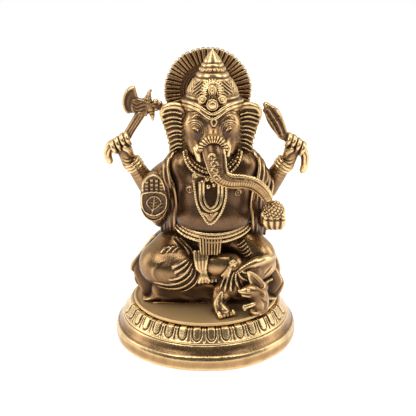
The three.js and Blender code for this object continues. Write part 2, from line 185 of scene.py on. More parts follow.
def flat_distance(px, pz, outline):
    """Distance from 2-D points to a closed outline, negative inside."""
    best = np.full(np.broadcast(px, pz).shape, 1e9)
    inside = np.zeros(best.shape, bool)
    for (ax, az), (bx, bz) in zip(outline, np.roll(outline, -1, 0)):
        ex, ez = bx - ax, bz - az
        wx, wz = px - ax, pz - az
        h = np.clip((wx * ex + wz * ez) / max(ex * ex + ez * ez, 1e-12), 0, 1)
        best = np.minimum(best, (wx - h * ex) ** 2 + (wz - h * ez) ** 2)
        crosses = (az > pz) != (bz > pz)
        inside ^= crosses & (px < ex * wz / (ez if abs(ez) > 1e-12 else 1e-12) + ax)
    return np.sqrt(best) * np.where(inside, -1, 1)


def slab(outline, y, thickness, rounding=0.5, swell=0.0):
    """A plate in the X-Z plane about y. swell makes it that much thicker away from its edge."""
    outline = np.asarray(outline, float)
    half = thickness / 2 + swell
    lo = np.array([outline[:, 0].min(), y - half, outline[:, 1].min()])
    hi = np.array([outline[:, 0].max(), y + half, outline[:, 1].max()])

    def distance(x, yy, z):
        across = flat_distance(x, z, outline)
        grown = thickness / 2 + swell * np.clip(-across / 3, 0, 1) ** 0.5
        deep = np.abs(yy - y) - grown + rounding
        across = across + rounding
        outside = np.sqrt(np.maximum(across, 0) ** 2 + np.maximum(deep, 0) ** 2)
        return outside + np.minimum(np.maximum(across, deep), 0) - rounding

    return [(distance, lo, hi)]


def turned(profile, centre=(0, 0), depth=1.0):
    """A turned shape: profile is a closed outline of (radius, z). depth squeezes it front to back."""
    profile = np.asarray(profile, float)
    widest = profile[:, 0].max()
    lo = np.array([centre[0] - widest, centre[1] - widest * depth, profile[:, 1].min()])
    hi = np.array([centre[0] + widest, centre[1] + widest * depth, profile[:, 1].max()])
    step = 0.1

    def distance(x, y, z):
        radius = np.sqrt((x - centre[0]) ** 2 + ((y - centre[1]) / depth) ** 2)[..., 0]
        rings = np.arange(0, radius.max() + 2 * step, step)
        table = flat_distance(rings[:, None], z.reshape(1, -1), profile)
        at = radius / step
        i = at.astype(int)
        t = (at - i)[..., None]
        return table[i] * (1 - t) + table[i + 1] * t

    return [(distance, lo, hi)]


def joined(*shapes):
    return [part for shape in shapes for part in shape]


# ---- clay: a block of voxels ----
def hump(ratio):
    """A smooth bump: 1 at 0, falling to 0 at 1."""
    return 0.5 + 0.5 * np.cos(np.pi * np.clip(ratio, 0, 1))


class Clay:
    def __init__(self, lowest, highest, voxel):
        self.voxel = voxel
        self.start = np.asarray(lowest, float) - 3 * voxel
        cells = np.ceil((np.asarray(highest, float) + 3 * voxel - self.start) / voxel).astype(int) + 1
        self.axes = [self.start[k] + voxel * np.arange(cells[k]) for k in range(3)]
        self.field = np.full(cells, FAR, np.float32)

    def window(self, lowest, highest, spare):
        cut = []
        for k in range(3):
            first = int(max(0, math.floor((lowest[k] - spare - self.start[k]) / self.voxel)))
            last = math.ceil((highest[k] + spare - self.start[k]) / self.voxel) + 1
            last = int(min(len(self.axes[k]), last))
            cut.append(slice(first, max(first, last)))
        return tuple(cut)

    def grid(self, cut):
        x, y, z = (self.axes[k][cut[k]].astype(np.float32) for k in range(3))
        return x[:, None, None], y[None, :, None], z[None, None, :]

    def measure(self, shape, spare):
        """(window, distance to the shape over that window)."""
        lowest = np.min([part[1] for part in shape], 0)
        highest = np.max([part[2] for part in shape], 0)
        cut = self.window(lowest, highest, spare)
        found = np.full([c.stop - c.start for c in cut], FAR, np.float32)
        for distance, lo, hi in shape:
            own = self.window(lo, hi, spare)
            own = tuple(slice(max(o.start, c.start), min(o.stop, c.stop)) for o, c in zip(own, cut))
            if any(o.stop <= o.start for o in own):
                continue
            inner = tuple(slice(o.start - c.start, o.stop - c.start) for o, c in zip(own, cut))
            found[inner] = np.minimum(found[inner], distance(*self.grid(own)))
        return cut, found

    def add(self, shape, blend=0.0):
        cut, other = self.measure(shape, blend + 3 * self.voxel)
        mine = self.field[cut]
        if blend:
            near = np.maximum(blend - np.abs(mine - other), 0) / blend
            self.field[cut] = np.minimum(mine, other) - near * near * blend / 4
        else:
            self.field[cut] = np.minimum(mine, other)
        return self

    def cut(self, shape, blend=0.3):
        cut, other = self.measure(shape, blend + 3 * self.voxel)
        mine = self.field[cut]
        near = np.maximum(blend - np.abs(mine + other), 0) / max(blend, 1e-6)
        self.field[cut] = np.maximum(mine, -other) + near * near * blend / 4
        return self

    def emboss(self, height, lowest=None, highest=None):
        """Raises the surface by height(x, y, z) millimetres inside a box."""
        cut = self.window(lowest if lowest is not None else self.start,
                          highest if highest is not None else [a[-1] for a in self.axes], 0)
        self.field[cut] -= height(*self.grid(cut)).astype(np.float32)
        return self

    def line(self, stops, width, height, y_from=-BEYOND, y_to=BEYOND, taper=False, seen_at=None):
        """A raised line, or a groove where height is negative, drawn on the front through (x, z) stops.
        With seen_at it is drawn on surfaces as seen from above the front, through the stops at that y."""
        path = smooth_path(stops, max(2, 6 * (len(stops) - 1)))
        spare = width if seen_at is None else width + 15 * SIGHT
        lowest = (path[:, 0].min() - width, y_from, path[:, 1].min() - spare)
        highest = (path[:, 0].max() + width, y_to, path[:, 1].max() + spare)
        cut = self.window(lowest, highest, 0)
        x, y, z = self.grid(cut)
        if not x.size or not y.size or not z.size:
            return self
        if seen_at is not None:
            z = z + SIGHT * (y - seen_at)
        best = np.full(np.broadcast(x, z).shape, 1e9)
        run = np.zeros_like(best)
        for i, (a, b) in enumerate(zip(path[:-1], path[1:])):
            e = b - a
            h = np.clip(((x - a[0]) * e[0] + (z - a[1]) * e[1]) / max(e @ e, 1e-9), 0, 1)
            d = (x - a[0] - h * e[0]) ** 2 + (z - a[1] - h * e[1]) ** 2
            closer = d < best
            best = np.where(closer, d, best)
            run = np.where(closer, (i + h) / (len(path) - 1), run)
        raised = height * hump(np.sqrt(best) / width)
        if taper:
            raised = raised * np.sqrt(np.clip(4 * run * (1 - run), 0, 1))
        self.field[cut] -= raised.astype(np.float32)
        return self

    def fold(self, stops, ridge, groove, right, up, **where):
        """A ridge, and a groove that lies right and up from it, each a (width, height) as in line."""
        self.line(stops, *ridge, **where)
        self.line(shifted(stops, right, up), *groove, **where)

    def stud(self, centres, radius, height, y_from=-BEYOND, y_to=BEYOND):
        """Round studs on the front at (x, z) centres."""
        for cx, cz in centres:
            self.emboss(lambda x, y, z: height * np.sqrt(np.clip(
                1 - ((x - cx) ** 2 + (z - cz) ** 2) / radius**2, 0, 1)) + 0 * y,
                (cx - radius, y_from, cz - radius), (cx + radius, y_to, cz + radius))
        return self

    def front(self, x, z):
        """The y of the first surface met from the front at each x, z."""
        i = np.round((np.atleast_1d(x) - self.start[0]) / self.voxel).astype(int)
        k = np.round((np.atleast_1d(z) - self.start[2]) / self.voxel).astype(int)
        i = np.clip(i, 0, len(self.axes[0]) - 1)
        k = np.clip(k, 0, len(self.axes[2]) - 1)
        rays = self.field[i, :, k]
        hit = np.argmax(rays < 0, axis=1)
        return np.where((rays < 0).any(1), self.axes[1][hit], self.axes[1][-1])


# ---- pieces ----
made = {}


def piece(name, clay, slot):
    """The clay's surface as a mesh that stands for the CAD node of that name."""
    grid = openvdb.FloatGrid(FAR)
    grid.copyFromArray(clay.field)
    points, _, quads = grid.convertToPolygons(isovalue=0.0, adaptivity=0.0)
    points = (points * clay.voxel + clay.start) * MM
    mesh = bpy.data.meshes.new(f"{name}_cast")
    mesh.vertices.add(len(points))
    mesh.vertices.foreach_set("co", points.astype(np.float32).ravel())
    mesh.loops.add(4 * len(quads))
    mesh.loops.foreach_set("vertex_index", quads.astype(np.int32).ravel())
    mesh.polygons.add(len(quads))
    mesh.polygons.foreach_set("loop_start", np.arange(0, 4 * len(quads), 4, dtype=np.int32))
    mesh.update(calc_edges=True)
    mesh.shade_smooth()
    made_piece = bpy.data.objects.new(f"{name}_cast", mesh)
    bpy.context.scene.collection.objects.link(made_piece)
    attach(made_piece, "root")
    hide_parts(name)
    made[name] = (made_piece, clay, slot)


def block(node, voxel, spare=1.5):
    """Empty clay round a CAD node's box."""
    return Clay(low(node) - spare, high(node) + spare, voxel)


# ---- anchors ----
BODY = mid("torso")[0]  # the figure's middle plane
SPINE = BODY + 1.8  # the shoulders and the head sit a little to the figure's left
HEAD = mid("head")
HEAD_X = HEAD[0] + 0.5
EYES = HEAD[2] + 3.0
CROWN_LOW, CROWN_TOP = low("crown")[2], high("crown")[2]
SEAT = high("seat_disc")[2] - 0.3
SHOULDER = SEAT + 70.5


def above_seat(points):
    """(x, z) points whose heights are given from the seat up."""
    return [(x, SEAT + up) for x, up in points]


# ---- base ----
PETALS = 35
PETAL_ARC = math.radians(79)  # the petals stop this far round from the front, and the band is plain behind


def sculpt_plinth():
    foot = high("plinth")[0]
    top = high("plinth")[2]
    clay = block("plinth", COARSE)
    clay.add(turned([
        (foot - 4, 0), (foot - 0.7, 0), (foot - 0.1, 0.6), (foot, 1.4), (foot - 0.1, 5.4),
        (foot - 0.4, 6.3), (foot - 1.0, 7.1), (foot - 1.5, 7.5), (foot - 2.1, 8.4), (foot - 2.9, 9.6),
        (foot - 3.5, 11.0), (foot - 3.9, top), (foot - 9, top), (foot - 9, 9.5), (foot - 4, 5),
    ]))

    # The wall isn't turned truly: it wanders a little, as cast.
    def wander(x, y, z):
        turn = np.arctan2(y, x)
        return 0.12 * np.sin(5 * turn + 1) + 0.08 * np.sin(9 * turn) + 0 * z

    clay.emboss(wander)
    clay.emboss(lambda x, y, z: 0.25 * hump(np.abs(z - 7.2) / 0.6) + 0 * x + 0 * y)
    piece("plinth", clay, "brass_body")


def petal_relief(x, y, z, foot, top):
    """Flat upright tongues, each inside a dark groove, with a rim between one groove and the next."""
    pitch = 2 * np.pi / PETALS
    out = np.hypot(x, y)
    round_front = np.arctan2(x, -y)
    across = np.abs((round_front / pitch + 0.07) % 1 - 0.5) * pitch * out
    half = pitch * out / 2
    up = (z - foot) / (top - foot) * 6.0  # millimetres up the slope
    tongue = 1.85
    edge = np.where(up < 2.9, np.hypot(across, 2.9 - up), across)
    groove = -0.65 * hump(np.abs(edge - tongue - 0.28) / 0.5)
    face = 0.28 * np.clip((tongue - edge) / 0.35, 0, 1)
    notch = -0.55 * hump(np.abs(across - half) / 0.4)
    inside = (np.abs(round_front) < PETAL_ARC) * np.clip(up * 3 - 0.4, 0, 1)
    end = -0.5 * hump(np.abs(np.abs(round_front) - PETAL_ARC) * out / 0.5)
    return (np.minimum(groove, notch) + face) * inside + end


def sculpt_lotus_band():
    wide = high("lotus_band")[0]
    lowest, highest = low("lotus_band")[2], high("lotus_band")[2]
    clay = block("lotus_band", BAND)
    foot = lowest + 2
    clay.add(turned([
        (wide - 8, lowest), (wide - 4.4, lowest), (wide - 4.4, foot - 0.4), (wide - 0.5, foot - 0.4),
        (wide + 0.2, foot + 0.1), (wide + 0.1, foot + 0.8), (wide - 0.4, foot + 1.3),
        (wide - 2.3, highest - 2.6), (wide - 3.6, highest - 0.4), (wide - 4.0, highest),
        (wide - 8.4, highest),
    ]))
    clay.emboss(lambda x, y, z: petal_relief(x, y, z, foot + 0.9, highest),
                (-wide - 1, -wide - 1, foot + 0.9), (wide + 1, wide + 1, highest + 1))
    piece("lotus_band", clay, "brass_polished")


def sculpt_seat():
    wide = high("seat_disc")[0]
    lowest = low("seat_disc")[2]
    clay = block("seat_disc", COARSE)
    clay.add(turned([
        (0, lowest), (wide - 4, lowest), (wide - 4, SEAT - 2), (wide - 0.6, SEAT - 1.7),
        (wide - 0.1, SEAT - 1.0), (wide - 0.2, SEAT - 0.1), (wide - 0.8, SEAT + 0.3),
        (wide - 1.5, SEAT + 0.1), (wide - 2, SEAT - 0.4), (0, SEAT - 0.2), (-3, SEAT - 0.2), (-3, lowest),
    ]))
    piece("seat_disc", clay, "brass_body")


def sculpt_cushion():
    """The low plain block that the legs lie on, with rough metal left along its foot."""
    clay = block("cushion", COARSE, 2.5)
    lo, hi = low("cushion"), high("cushion")
    middle = (lo + hi) / 2
    side = ((0.5, -1), (-0.5, 4), (0.5, 9), (3, 12.5))
    ends = [(lo[0] + inward, SEAT + up) for inward, up in side]
    ends += [(hi[0] - inward, SEAT + up) for inward, up in reversed(side)]
    clay.add(slab(closed_outline(ends), middle[1], hi[1] - lo[1] - 1.0, 5.0))

    def hollow(x, y, z):
        return -1.0 * hump(np.abs(z - SEAT - 5) / 5) * (y < middle[1]) + 0.25 * np.sin(0.5 * x + 0.8 * z)

    clay.emboss(hollow)
    burrs = 46
    for k in range(burrs):
        t = k / (burrs - 1)
        place = (lo[0] + 2 + (hi[0] - lo[0] - 6) * t, lo[1] + 0.5 - 0.6 * math.sin(7 * t), SEAT)
        clay.add(ball(place, (0.9, 0.9, 0.45 + 0.3 * math.sin(12.9 * k))), 0.5)
    piece("cushion", clay, "brass_patina")


def sculpt_bolster():
    """The broad backing that rises behind the knees to the waist."""
    lo, hi = low("bolster"), high("bolster")
    centre = (lo + hi) / 2
    clay = block("bolster", COARSE)
    reach = (hi[0] - lo[0]) / 2
    base = lo[2] - 0.5
    clay.add(turned([
        (-2, base), (reach - 7, base), (reach - 5, base + 3), (reach - 1.3, base + 8),
        (reach - 0.3, base + 11), (reach - 1.2, base + 15), (reach - 5, base + 21),
        (reach - 10.5, base + 29), (reach - 18, base + 35.5), (reach - 26, base + 37.4),
        (-2, base + 37.4),
    ], centre[:2], 0.5))
    # A rolled edge runs round it, and shallow folds fall from the waist at the back.
    rim = [(centre[0] + side * out, centre[1] - 3, base + up) for side, out, up in (
        (-1, reach - 11, 29), (-1, reach - 5, 20.5), (-1, reach - 1.8, 13), (-1, reach - 2.4, 8),
        (-1, reach - 6.6, 1))]
    for stops in (rim, mirror(rim, centre[0])):
        clay.add(rod([stop + (1.5,) for stop in stops]), 1.0)

    def folds(x, y, z):
        fan = (x - centre[0]) / (6 + 0.6 * (base + 40 - z))
        behind = np.clip((y - centre[1]) / 8, 0, 1)
        return 0.7 * np.sin(9 * fan) * behind * np.clip((base + 36 - z) / 10, 0, 1)

    clay.emboss(folds)
    piece("bolster", clay, "brass_patina")


# ---- body ----
def sculpt_torso():
    clay = block("torso", MEDIUM, 3)
    x = BODY
    clay.add(ball((x + 1.4, -4.4, SEAT + 48.3), (20.4, 19.2, 15.6)))
    clay.add(ball((x, 4, SEAT + 32), (22, 14.5, 20)), 3)
    clay.add(ball((SPINE, -4.0, SHOULDER - 9.5), (19, 14.2, 12.5)), 7)
    for side in (-1, 1):
        # The chest, the smooth shoulder beside the neck, and the shoulder blade.
        clay.add(ball((SPINE + side * 9.0, -8.8, SHOULDER - 7.6), (9.6, 8.8, 9.4)), 5)
        clay.add(ball((SPINE + side * 14.6, -4.4, SHOULDER + 1.6), (8.0, 8.8, 8.2)), 5)
        clay.add(ball((SPINE + side * 9, 9.5, SHOULDER - 8), (6, 3.5, 8), (0, side * -12, 0)), 3)
    clay.add(rod([(SPINE - 15.5, 1, SHOULDER, 7.0), (SPINE + 15.5, 1, SHOULDER, 7.0)]), 4)
    clay.add(rod([(SPINE, 0, SHOULDER, 12), (HEAD_X, -1, SHOULDER + 13, 11)]), 4)
    clay.line([(SPINE, SHOULDER - 2), (x, SEAT + 22)], 2.4, -0.8, y_from=4)
    # The rosettes on the chest.
    for side, lift in ((-1, 0.9), (1, -0.6)):
        centre = (SPINE + side * 12.0, SHOULDER - 7.6 + lift)
        clay.line(circle(*centre, 1.35), 0.55, 0.6, y_to=0)
        clay.stud([centre], 0.7, 0.6, y_to=0)
    piece("torso", clay, "brass_body")


def sculpt_belt():
    """Three cords that hang in a curve under the belly."""
    clay = block("waist_belt", FINE, 3.5)
    for drop, size in ((-1.0, 0.75), (0.9, 0.95), (3.3, 0.95)):
        stops = []
        for turn in np.linspace(-1.25, 1.25, 17):
            px = SPINE - 0.4 + (18.9 + 0.3 * drop) * math.sin(turn)
            pz = SEAT + 41.2 - drop + (3.6 + 0.4 * drop) * (1 - math.cos(turn))
            py = -3.2 - (19.9 - 0.2 * drop) * math.cos(turn)
            stops.append((px, py, pz, size))
        clay.add(rod(stops), 0.2)
    clay.emboss(lambda x, y, z: 0.10 * np.sin(5.2 * (x + 0.8 * z)) + 0 * y)
    piece("waist_belt", clay, "brass_polished")


def settle(torso, points, sink):
    """The x, z points laid on the torso's front, with the jumps in their depth evened out."""
    depths = [float(torso.front(px, pz)[0]) for px, pz in points]
    for choose in (min, lambda near: sum(near) / len(near)):
        depths = [choose(depths[max(0, i - 1):i + 2]) for i in range(len(depths))]
    return [(px, py - sink, pz) for (px, pz), py in zip(points, depths)]


def sculpt_collar(torso):
    """Strings of beads round the neck, twisted close together, that come out from under the cheeks."""
    clay = block("collar_necklace", FINE, 3)
    for half, bottom, size in ((11.6, 2.2, 0.85), (12.9, 0.6, 1.15), (14.2, -1.2, 0.85)):
        points = []
        for turn in np.linspace(-1.5, 1.5, 25):
            points.append((SPINE - 0.6 + half * math.sin(turn),
                           SHOULDER + 11.5 - (11.5 - bottom) * math.cos(turn) ** 0.9))
        stops = settle(torso, points, 0.3)
        for bead in even_path(stops, 1.7 * size):
            clay.add(ball(bead, size), 0.15)
        clay.add(rod([tuple(s) + (size * 0.6,) for s in stops]), 0.3)
    piece("collar_necklace", clay, "brass_polished")


def sculpt_garland(torso):
    """Long strings that hang to the navel: two cords in a loop, and a beaded one that ends in a point."""
    clay = Clay(low("garland") - 4, high("garland") + (4, 6, 11), FINE)
    middle = BODY + 0.4
    for inset, size in ((0.0, 0.74), (1.75, 0.66)):
        loop = [(-5.5, 68), (-5.4, 62.0), (-4.7, 57.9), (-2.8, 55.0), (0, 54.0), (2.8, 55.0), (4.7, 57.9),
                (5.4, 62.0), (5.5, 68)]
        points = [(middle + px * (1 - inset / 5.5), SEAT + pz + inset * (0.9 if pz < 60 else 0))
                  for px, pz in loop]
        clay.add(rod([s + (size,) for s in settle(torso, points, 0.25)], count=60), 0.1)
    outer = [(-8.6, 69.0), (-7.9, 63), (-6.9, 57.6), (-4.2, 52.2), (-0.5, 47.7), (3.7, 51.6), (6.2, 56.6),
             (7.4, 62), (7.3, 67.2)]
    stops = settle(torso, [(middle + px, SEAT + pz) for px, pz in outer], 0.35)
    for bead in even_path(stops, 1.3):
        clay.add(ball(bead, 0.7))
    clay.add(rod([s + (0.4,) for s in stops], count=50), 0.15)
    # The beads clustered at the top of the loop, and the rosette at its clasp.
    for px, pz in ((-4.0, 67.5), (-2.0, 68.6), (0.5, 68.1), (1.5, 66.0), (-1.5, 65.5), (3.4, 67.6)):
        x, z = middle + px, SEAT + pz
        clay.add(ball((x, float(torso.front(x, z)[0]) - 0.4, z), 1.35), 0.1)
    x, z = middle - 7.4, SEAT + 69.9
    y = float(torso.front(x, z)[0])
    clay.add(ball((x, y, z), (2.1, 1.1, 2.1)), 0.1)
    clay.line(circle(x, z, 1.3), 0.4, -0.4, y_to=y + 1)
    piece("garland", clay, "brass_polished")


def sculpt_pendant(torso):
    """The cross-hatched point inside the beaded string."""
    clay = block("garland_pendant", FINE, 3)
    top = SEAT + 54.0
    middle = BODY - 0.1
    outline = closed_outline([(middle - 4.2, top), (middle, top - 1.0), (middle + 4.2, top),
                              (middle + 2.2, top - 2.8), (middle, top - 5.2), (middle - 2.2, top - 2.8)],
                             5)
    y = float(torso.front(middle, top - 3)[0])
    clay.add(slab(outline, y + 0.5, 1.6, 0.4, 0.2))

    def hatch(px, py, pz):
        return 0.22 * (np.abs(np.sin(2.1 * (px + pz))) + np.abs(np.sin(2.1 * (px - pz)))) - 0.3 + 0 * py

    clay.emboss(hatch, (middle - 5, -40, top - 8), (middle + 5, y, top + 1))
    piece("garland_pendant", clay, "brass_polished")


def sculpt_scarf(side):
    """The shawl over one shoulder: a rolled edge beside the neck, and soft folds outside it."""
    name = "right_scarf" if side < 0 else "left_scarf"
    clay = Clay(low(name) - (12, 5, 12), high(name) + (12, 14, 4), MEDIUM)
    x = lambda out: SPINE + side * out
    edge = [(14.0, 9.0, SHOULDER - 6), (13.5, 7.0, SHOULDER + 4), (15.4, 1.0, SHOULDER + 9.6),
            (19.4, -4.5, SHOULDER + 8.4), (22.4, -7.4, SHOULDER + 4.4), (22.4, -9.8, SHOULDER - 0.4),
            (20.6, -12.4, SHOULDER - 6), (19.4, -12.6, SHOULDER - 12.5), (19.0, -12.0, SEAT + 54),
            (19.4, -11.0, SEAT + 47), (19.6, -9.0, SEAT + 41), (19.6, -5.0, SEAT + 35)]
    clay.add(rod([(x(a), b, c, 1.15) for a, b, c in edge], count=60))
    # Each fold lies outside the last, lower over the shoulder and further back.
    folds = ((1.2, 1.7, 1.6, 1.0, 1.5), (2.2, 3.4, 3.4, 2.8, 1.7),
             (3.0, 5.0, 5.4, 5.2, 1.8), (3.6, 6.6, 7.6, 8.4, 1.9))
    for out, low_out, back, drop, size in folds:
        stops = []
        for i, (a, b, c) in enumerate(edge):
            t = i / (len(edge) - 1)
            shift = (out if t < 0.45 else low_out) * (0.3 if t < 0.25 else 1.0)
            behind = b + back * (0.5 if t < 0.25 else 1.0)
            below = c - drop * (1.0 if t < 0.6 else 0.25)
            stops.append((x(a + shift), behind, below, size * (1.0 if t < 0.85 else 0.7)))
        clay.add(rod(stops, count=60), 0.8)

    # Fine creases along the folds.
    def crease(px, py, pz):
        return 0.16 * np.sin(2.3 * (px - SPINE) * side - 0.22 * (pz - SHOULDER)) + 0 * py

    clay.emboss(crease)
    piece(name, clay, "brass_body")


# ---- head ----
def sculpt_head():
    clay = block("head", FINE, 5)
    x = HEAD_X
    clay.add(ball((x - 0.3, -1.5, HEAD[2] + 1.5), (13.8, 12.4, 13.6)))
    clay.add(ball((x, -5.6, HEAD[2] - 3.0), (12.6, 9.8, 12.6)), 4)
    # The brow, and the bridge that widens from it down to the root of the trunk.
    clay.add(ball((x + 0.4, -8.6, EYES + 4.0), (12.2, 7.0, 6.6)), 3)
    clay.add(rod([(x + 0.4, -12.2, EYES + 4, 3.6), (x + 0.4, -14.4, EYES - 2, 5.0),
                  (x + 0.3, -17.2, EYES - 8, 7.0)]), 3.5)
    for side in (-1, 1):
        # The long cheek, and the jowl that meets the shoulder.
        clay.add(rod([(x + side * 8.2, -7.4, EYES - 1.5, 4.8), (x + side * 7.4, -9.4, EYES - 8, 5.0),
                      (x + side * 6.8, -10.8, EYES - 12, 4.4)]), 4)
        clay.add(rod([(x + side * 10.0, -3.4, EYES - 2, 4.4), (x + side * 10.4, -3.4, EYES - 10, 4.8),
                      (x + side * 11.0, -3.0, EYES - 18, 4.8)]), 4)
        # The narrow slanting eye, and the lids that wrap round it from the temple to the trunk.
        eye = (x + side * 7.9, EYES - 1.0)
        clay.add(ball((x + side * 8.0, -11.0, EYES + 0.2), (5.6, 5.0, 5.8)), 3)
        inner, outer = (eye[0] - side * 1.8, eye[1] - 1.6), (eye[0] + side * 1.9, eye[1] + 0.4)
        clay.line([inner, (eye[0], eye[1] + 0.4), outer], 0.7, 0.7, y_to=-4, taper=True)
        clay.line([inner, (eye[0] + side * 0.3, eye[1] - 1.3), outer], 0.45, -0.4, y_to=-4, taper=True)
        for radius, height in ((1.7, 0.42), (2.7, 0.42), (3.7, 0.38), (4.8, 0.28)):
            arc = []
            for angle in np.radians(np.linspace(135, -20, 9)):
                arc.append((eye[0] - side * (radius * math.cos(angle) - 0.5),
                            eye[1] + radius * math.sin(angle) - 0.1 * radius))
            clay.line(arc, 0.52, height, y_to=-4, taper=True)
            clay.line([(px - 0.1 * side, pz + 0.55) for px, pz in arc], 0.4, -0.18, y_to=-4, taper=True)
    # The mouth's lower lip, under the trunk.
    clay.add(ball((x, -13.5, HEAD[2] - 12), (4.6, 5.4, 3.4)), 1.5)
    # Low folds that follow the dip of the crown's cords across the brow.
    for drop, height in ((0.0, 0.35), (1.3, 0.3), (2.6, 0.25)):
        for side in (-1, 1):
            brow = [(x + 0.9 + side * 2.0, EYES + 5.2 - drop), (x + 0.9 + side * 5.0, EYES + 7.4 - drop),
                    (x + 0.9 + side * 8.4, EYES + 8.4 - drop),
                    (x + 0.9 + side * 11.0, EYES + 8.0 - 1.4 * drop)]
            clay.line(brow, 0.55, height, y_to=-3, taper=True)
    # The drop-shaped mark between the brows.
    drop = [(x + 0.9, EYES + 4.8), (x + 2.2, EYES + 3.0), (x + 0.9, EYES + 1.2), (x - 0.4, EYES + 3.0),
            (x + 0.9, EYES + 4.8)]
    clay.line(drop, 0.6, 0.8, y_to=-3)
    clay.line([(x + 0.6, EYES - 0.5), (x + 0.4, EYES - 5.0)], 0.7, -0.5, y_to=-3, taper=True)
    piece("head", clay, "brass_body")


def sculpt_trunk():
    clay = block("trunk", FINE, 4)
    x = HEAD_X
    top = HEAD[2]
    course = [
        (x + 0.2, -12.6, top + 0.6, 3.6), (x + 0.4, -18.8, top - 4.0, 5.7),
        (x + 0.9, -21.8, top - 7.5, 5.7), (x + 1.7, -23.6, top - 11.5, 5.3),
        (x + 2.6, -24.8, top - 15.3, 4.7), (x + 4.8, -25.8, top - 18.8, 4.1),
        (x + 9.2, -26.2, top - 20.7, 3.6), (x + 15.4, -26.0, top - 21.1, 3.3),
        (x + 20.6, -25.2, top - 22.9, 3.2), (x + 24.6, -24.2, top - 26.6, 2.9),
        (x + 27.2, -23.4, top - 30.6, 2.5),
    ]
    clay.add(rod(course, count=70))
    # Fine rings round the trunk, closer together towards the tip.
    middle = smooth_path(course, 70)
    run = np.concatenate([[0], np.cumsum(np.linalg.norm(np.diff(middle[:, :3], axis=0), axis=1))])
    for at in np.arange(15.0, run[-1] - 1.0, 1.15):
        px, py, pz, size = (np.interp(at, run, middle[:, k]) for k in range(4))
        ahead = np.array([np.interp(at + 0.5, run, middle[:, k]) - np.interp(at - 0.5, run, middle[:, k])
                          for k in (0, 2)])
        across = np.array([-ahead[1], ahead[0]]) / np.linalg.norm(ahead)
        stops = [(px + across[0] * t * size, pz + across[1] * t * size + 0.9 * (t * t - 0.5) * ahead[1])
                 for t in (-0.7, -0.2, 0.4)]
        clay.line(stops, 0.42, -0.2, y_to=py)
    # A corded edge along the outer side and the top, and a plain fillet along the lower side.
    edge = edge_of(course, 0.80)
    cord = even_path(edge, 1.5)
    clay.add(rod([tuple(p) + (0.95,) for p in edge], count=60), 0.3)
    for k, (a, b) in enumerate(zip(cord[:-1], cord[1:])):
        lean = 0.5 * np.array([-(b - a)[2], 0, (b - a)[0]])
        clay.add(rod([tuple(a - lean) + (0.6,), tuple(b + lean) + (0.6,)]), 0.12)
    for share, size in ((-0.86, 0.5), (0.42, 0.4)):
        clay.add(rod([tuple(p) + (size,) for p in edge_of(course, share)], count=60), 0.3)
    # A scroll down the middle of the upper part.
    for k in range(4):
        z = top - 8.6 - 3.3 * k
        clay.line(spiral(x + 0.2 + 0.6 * k, z, 2.0, 1 if k % 2 else -1), 0.5, 0.42, y_to=-15)
    piece("trunk", clay, "brass_body")


def spiral(x, z, size, way):
    return [(x + way * size * (1 - t / 9) * math.cos(0.9 * t), z + size * (1 - t / 9) * math.sin(0.9 * t))
            for t in range(8)]


def edge_of(course, share):
    """A line on the front of the trunk, share of its radius to one side of its middle."""
    middle = smooth_path(course, 60)[8:]
    ahead = np.gradient(middle[:, [0, 2]], axis=0)
    ahead /= np.linalg.norm(ahead, axis=1)[:, None]
    side = np.stack([-ahead[:, 1], ahead[:, 0]], 1) * share * middle[:, 3:4]
    front = middle[:, 1] - middle[:, 3] * math.sqrt(max(0.0, 1 - share * share)) * 0.9
    return np.stack([middle[:, 0] + side[:, 0], front, middle[:, 2] + side[:, 1]], 1)


def sculpt_trunk_cloth():
    """The ribbed arch that the trunk comes out from under."""
    clay = block("trunk_cloth", FINE, 3)
    lo, hi = low("trunk_cloth"), high("trunk_cloth")
    x = HEAD_X + 0.6
    arch = [(x - 6.0, -19.6, lo[2] + 0.2, 1.7), (x - 5.2, -22.8, lo[2] + 3.8, 2.3),
            (x - 2.8, -24.8, hi[2] - 2.2, 2.5), (x, -25.4, hi[2] - 1.6, 2.6),
            (x + 2.8, -24.8, hi[2] - 2.2, 2.5), (x + 5.2, -22.8, lo[2] + 3.8, 2.3),
            (x + 6.0, -19.6, lo[2] + 0.2, 1.7)]
    clay.add(rod(arch, count=40))
    # Curled ribs on each side of the middle, like the edge of a shell.
    for t in np.linspace(-1.55, 1.55, 13):
        inner = (x + 1.4 * math.sin(t), lo[2] + 2.4 + 2.0 * math.cos(t))
        middle = (x + 5.0 * math.sin(t * 0.94), lo[2] + 2.6 + 6.2 * math.cos(t * 0.94))
        outer = (x + 8.4 * math.sin(t * 1.02), lo[2] + 2.6 + 9.4 * math.cos(t * 1.02))
        clay.line([inner, middle, outer], 0.62, -0.95)
    piece("trunk_cloth", clay, "brass_polished")


def sculpt_tusk(side):
    name = "right_tusk" if side < 0 else "left_tusk"
    clay = block(name, FINE, 5)
    x = HEAD_X + side * 7.3
    if side < 0:
        # The longer tusk stands clear of the trunk as a flat-faced wedge.
        clay.add(rod([(x + 0.2, -15.0, 108.4, 2.3), (x + 0.3, -20.2, 106.2, 2.0),
                      (x + 1.3, -21.6, 101.9, 1.1)]))
        clay.add(rod([(x - 0.9, -19.4, 107.2, 1.2), (x + 0.6, -21.4, 102.0, 0.8)]), 0.3)
    else:
        clay.add(rod([(x, -15.0, 110.0, 2.1), (x + 0.4, -19.4, 107.6, 1.7),
                      (x + 0.2, -20.4, 104.0, 1.1)]))
    piece(name, clay, "brass_polished")


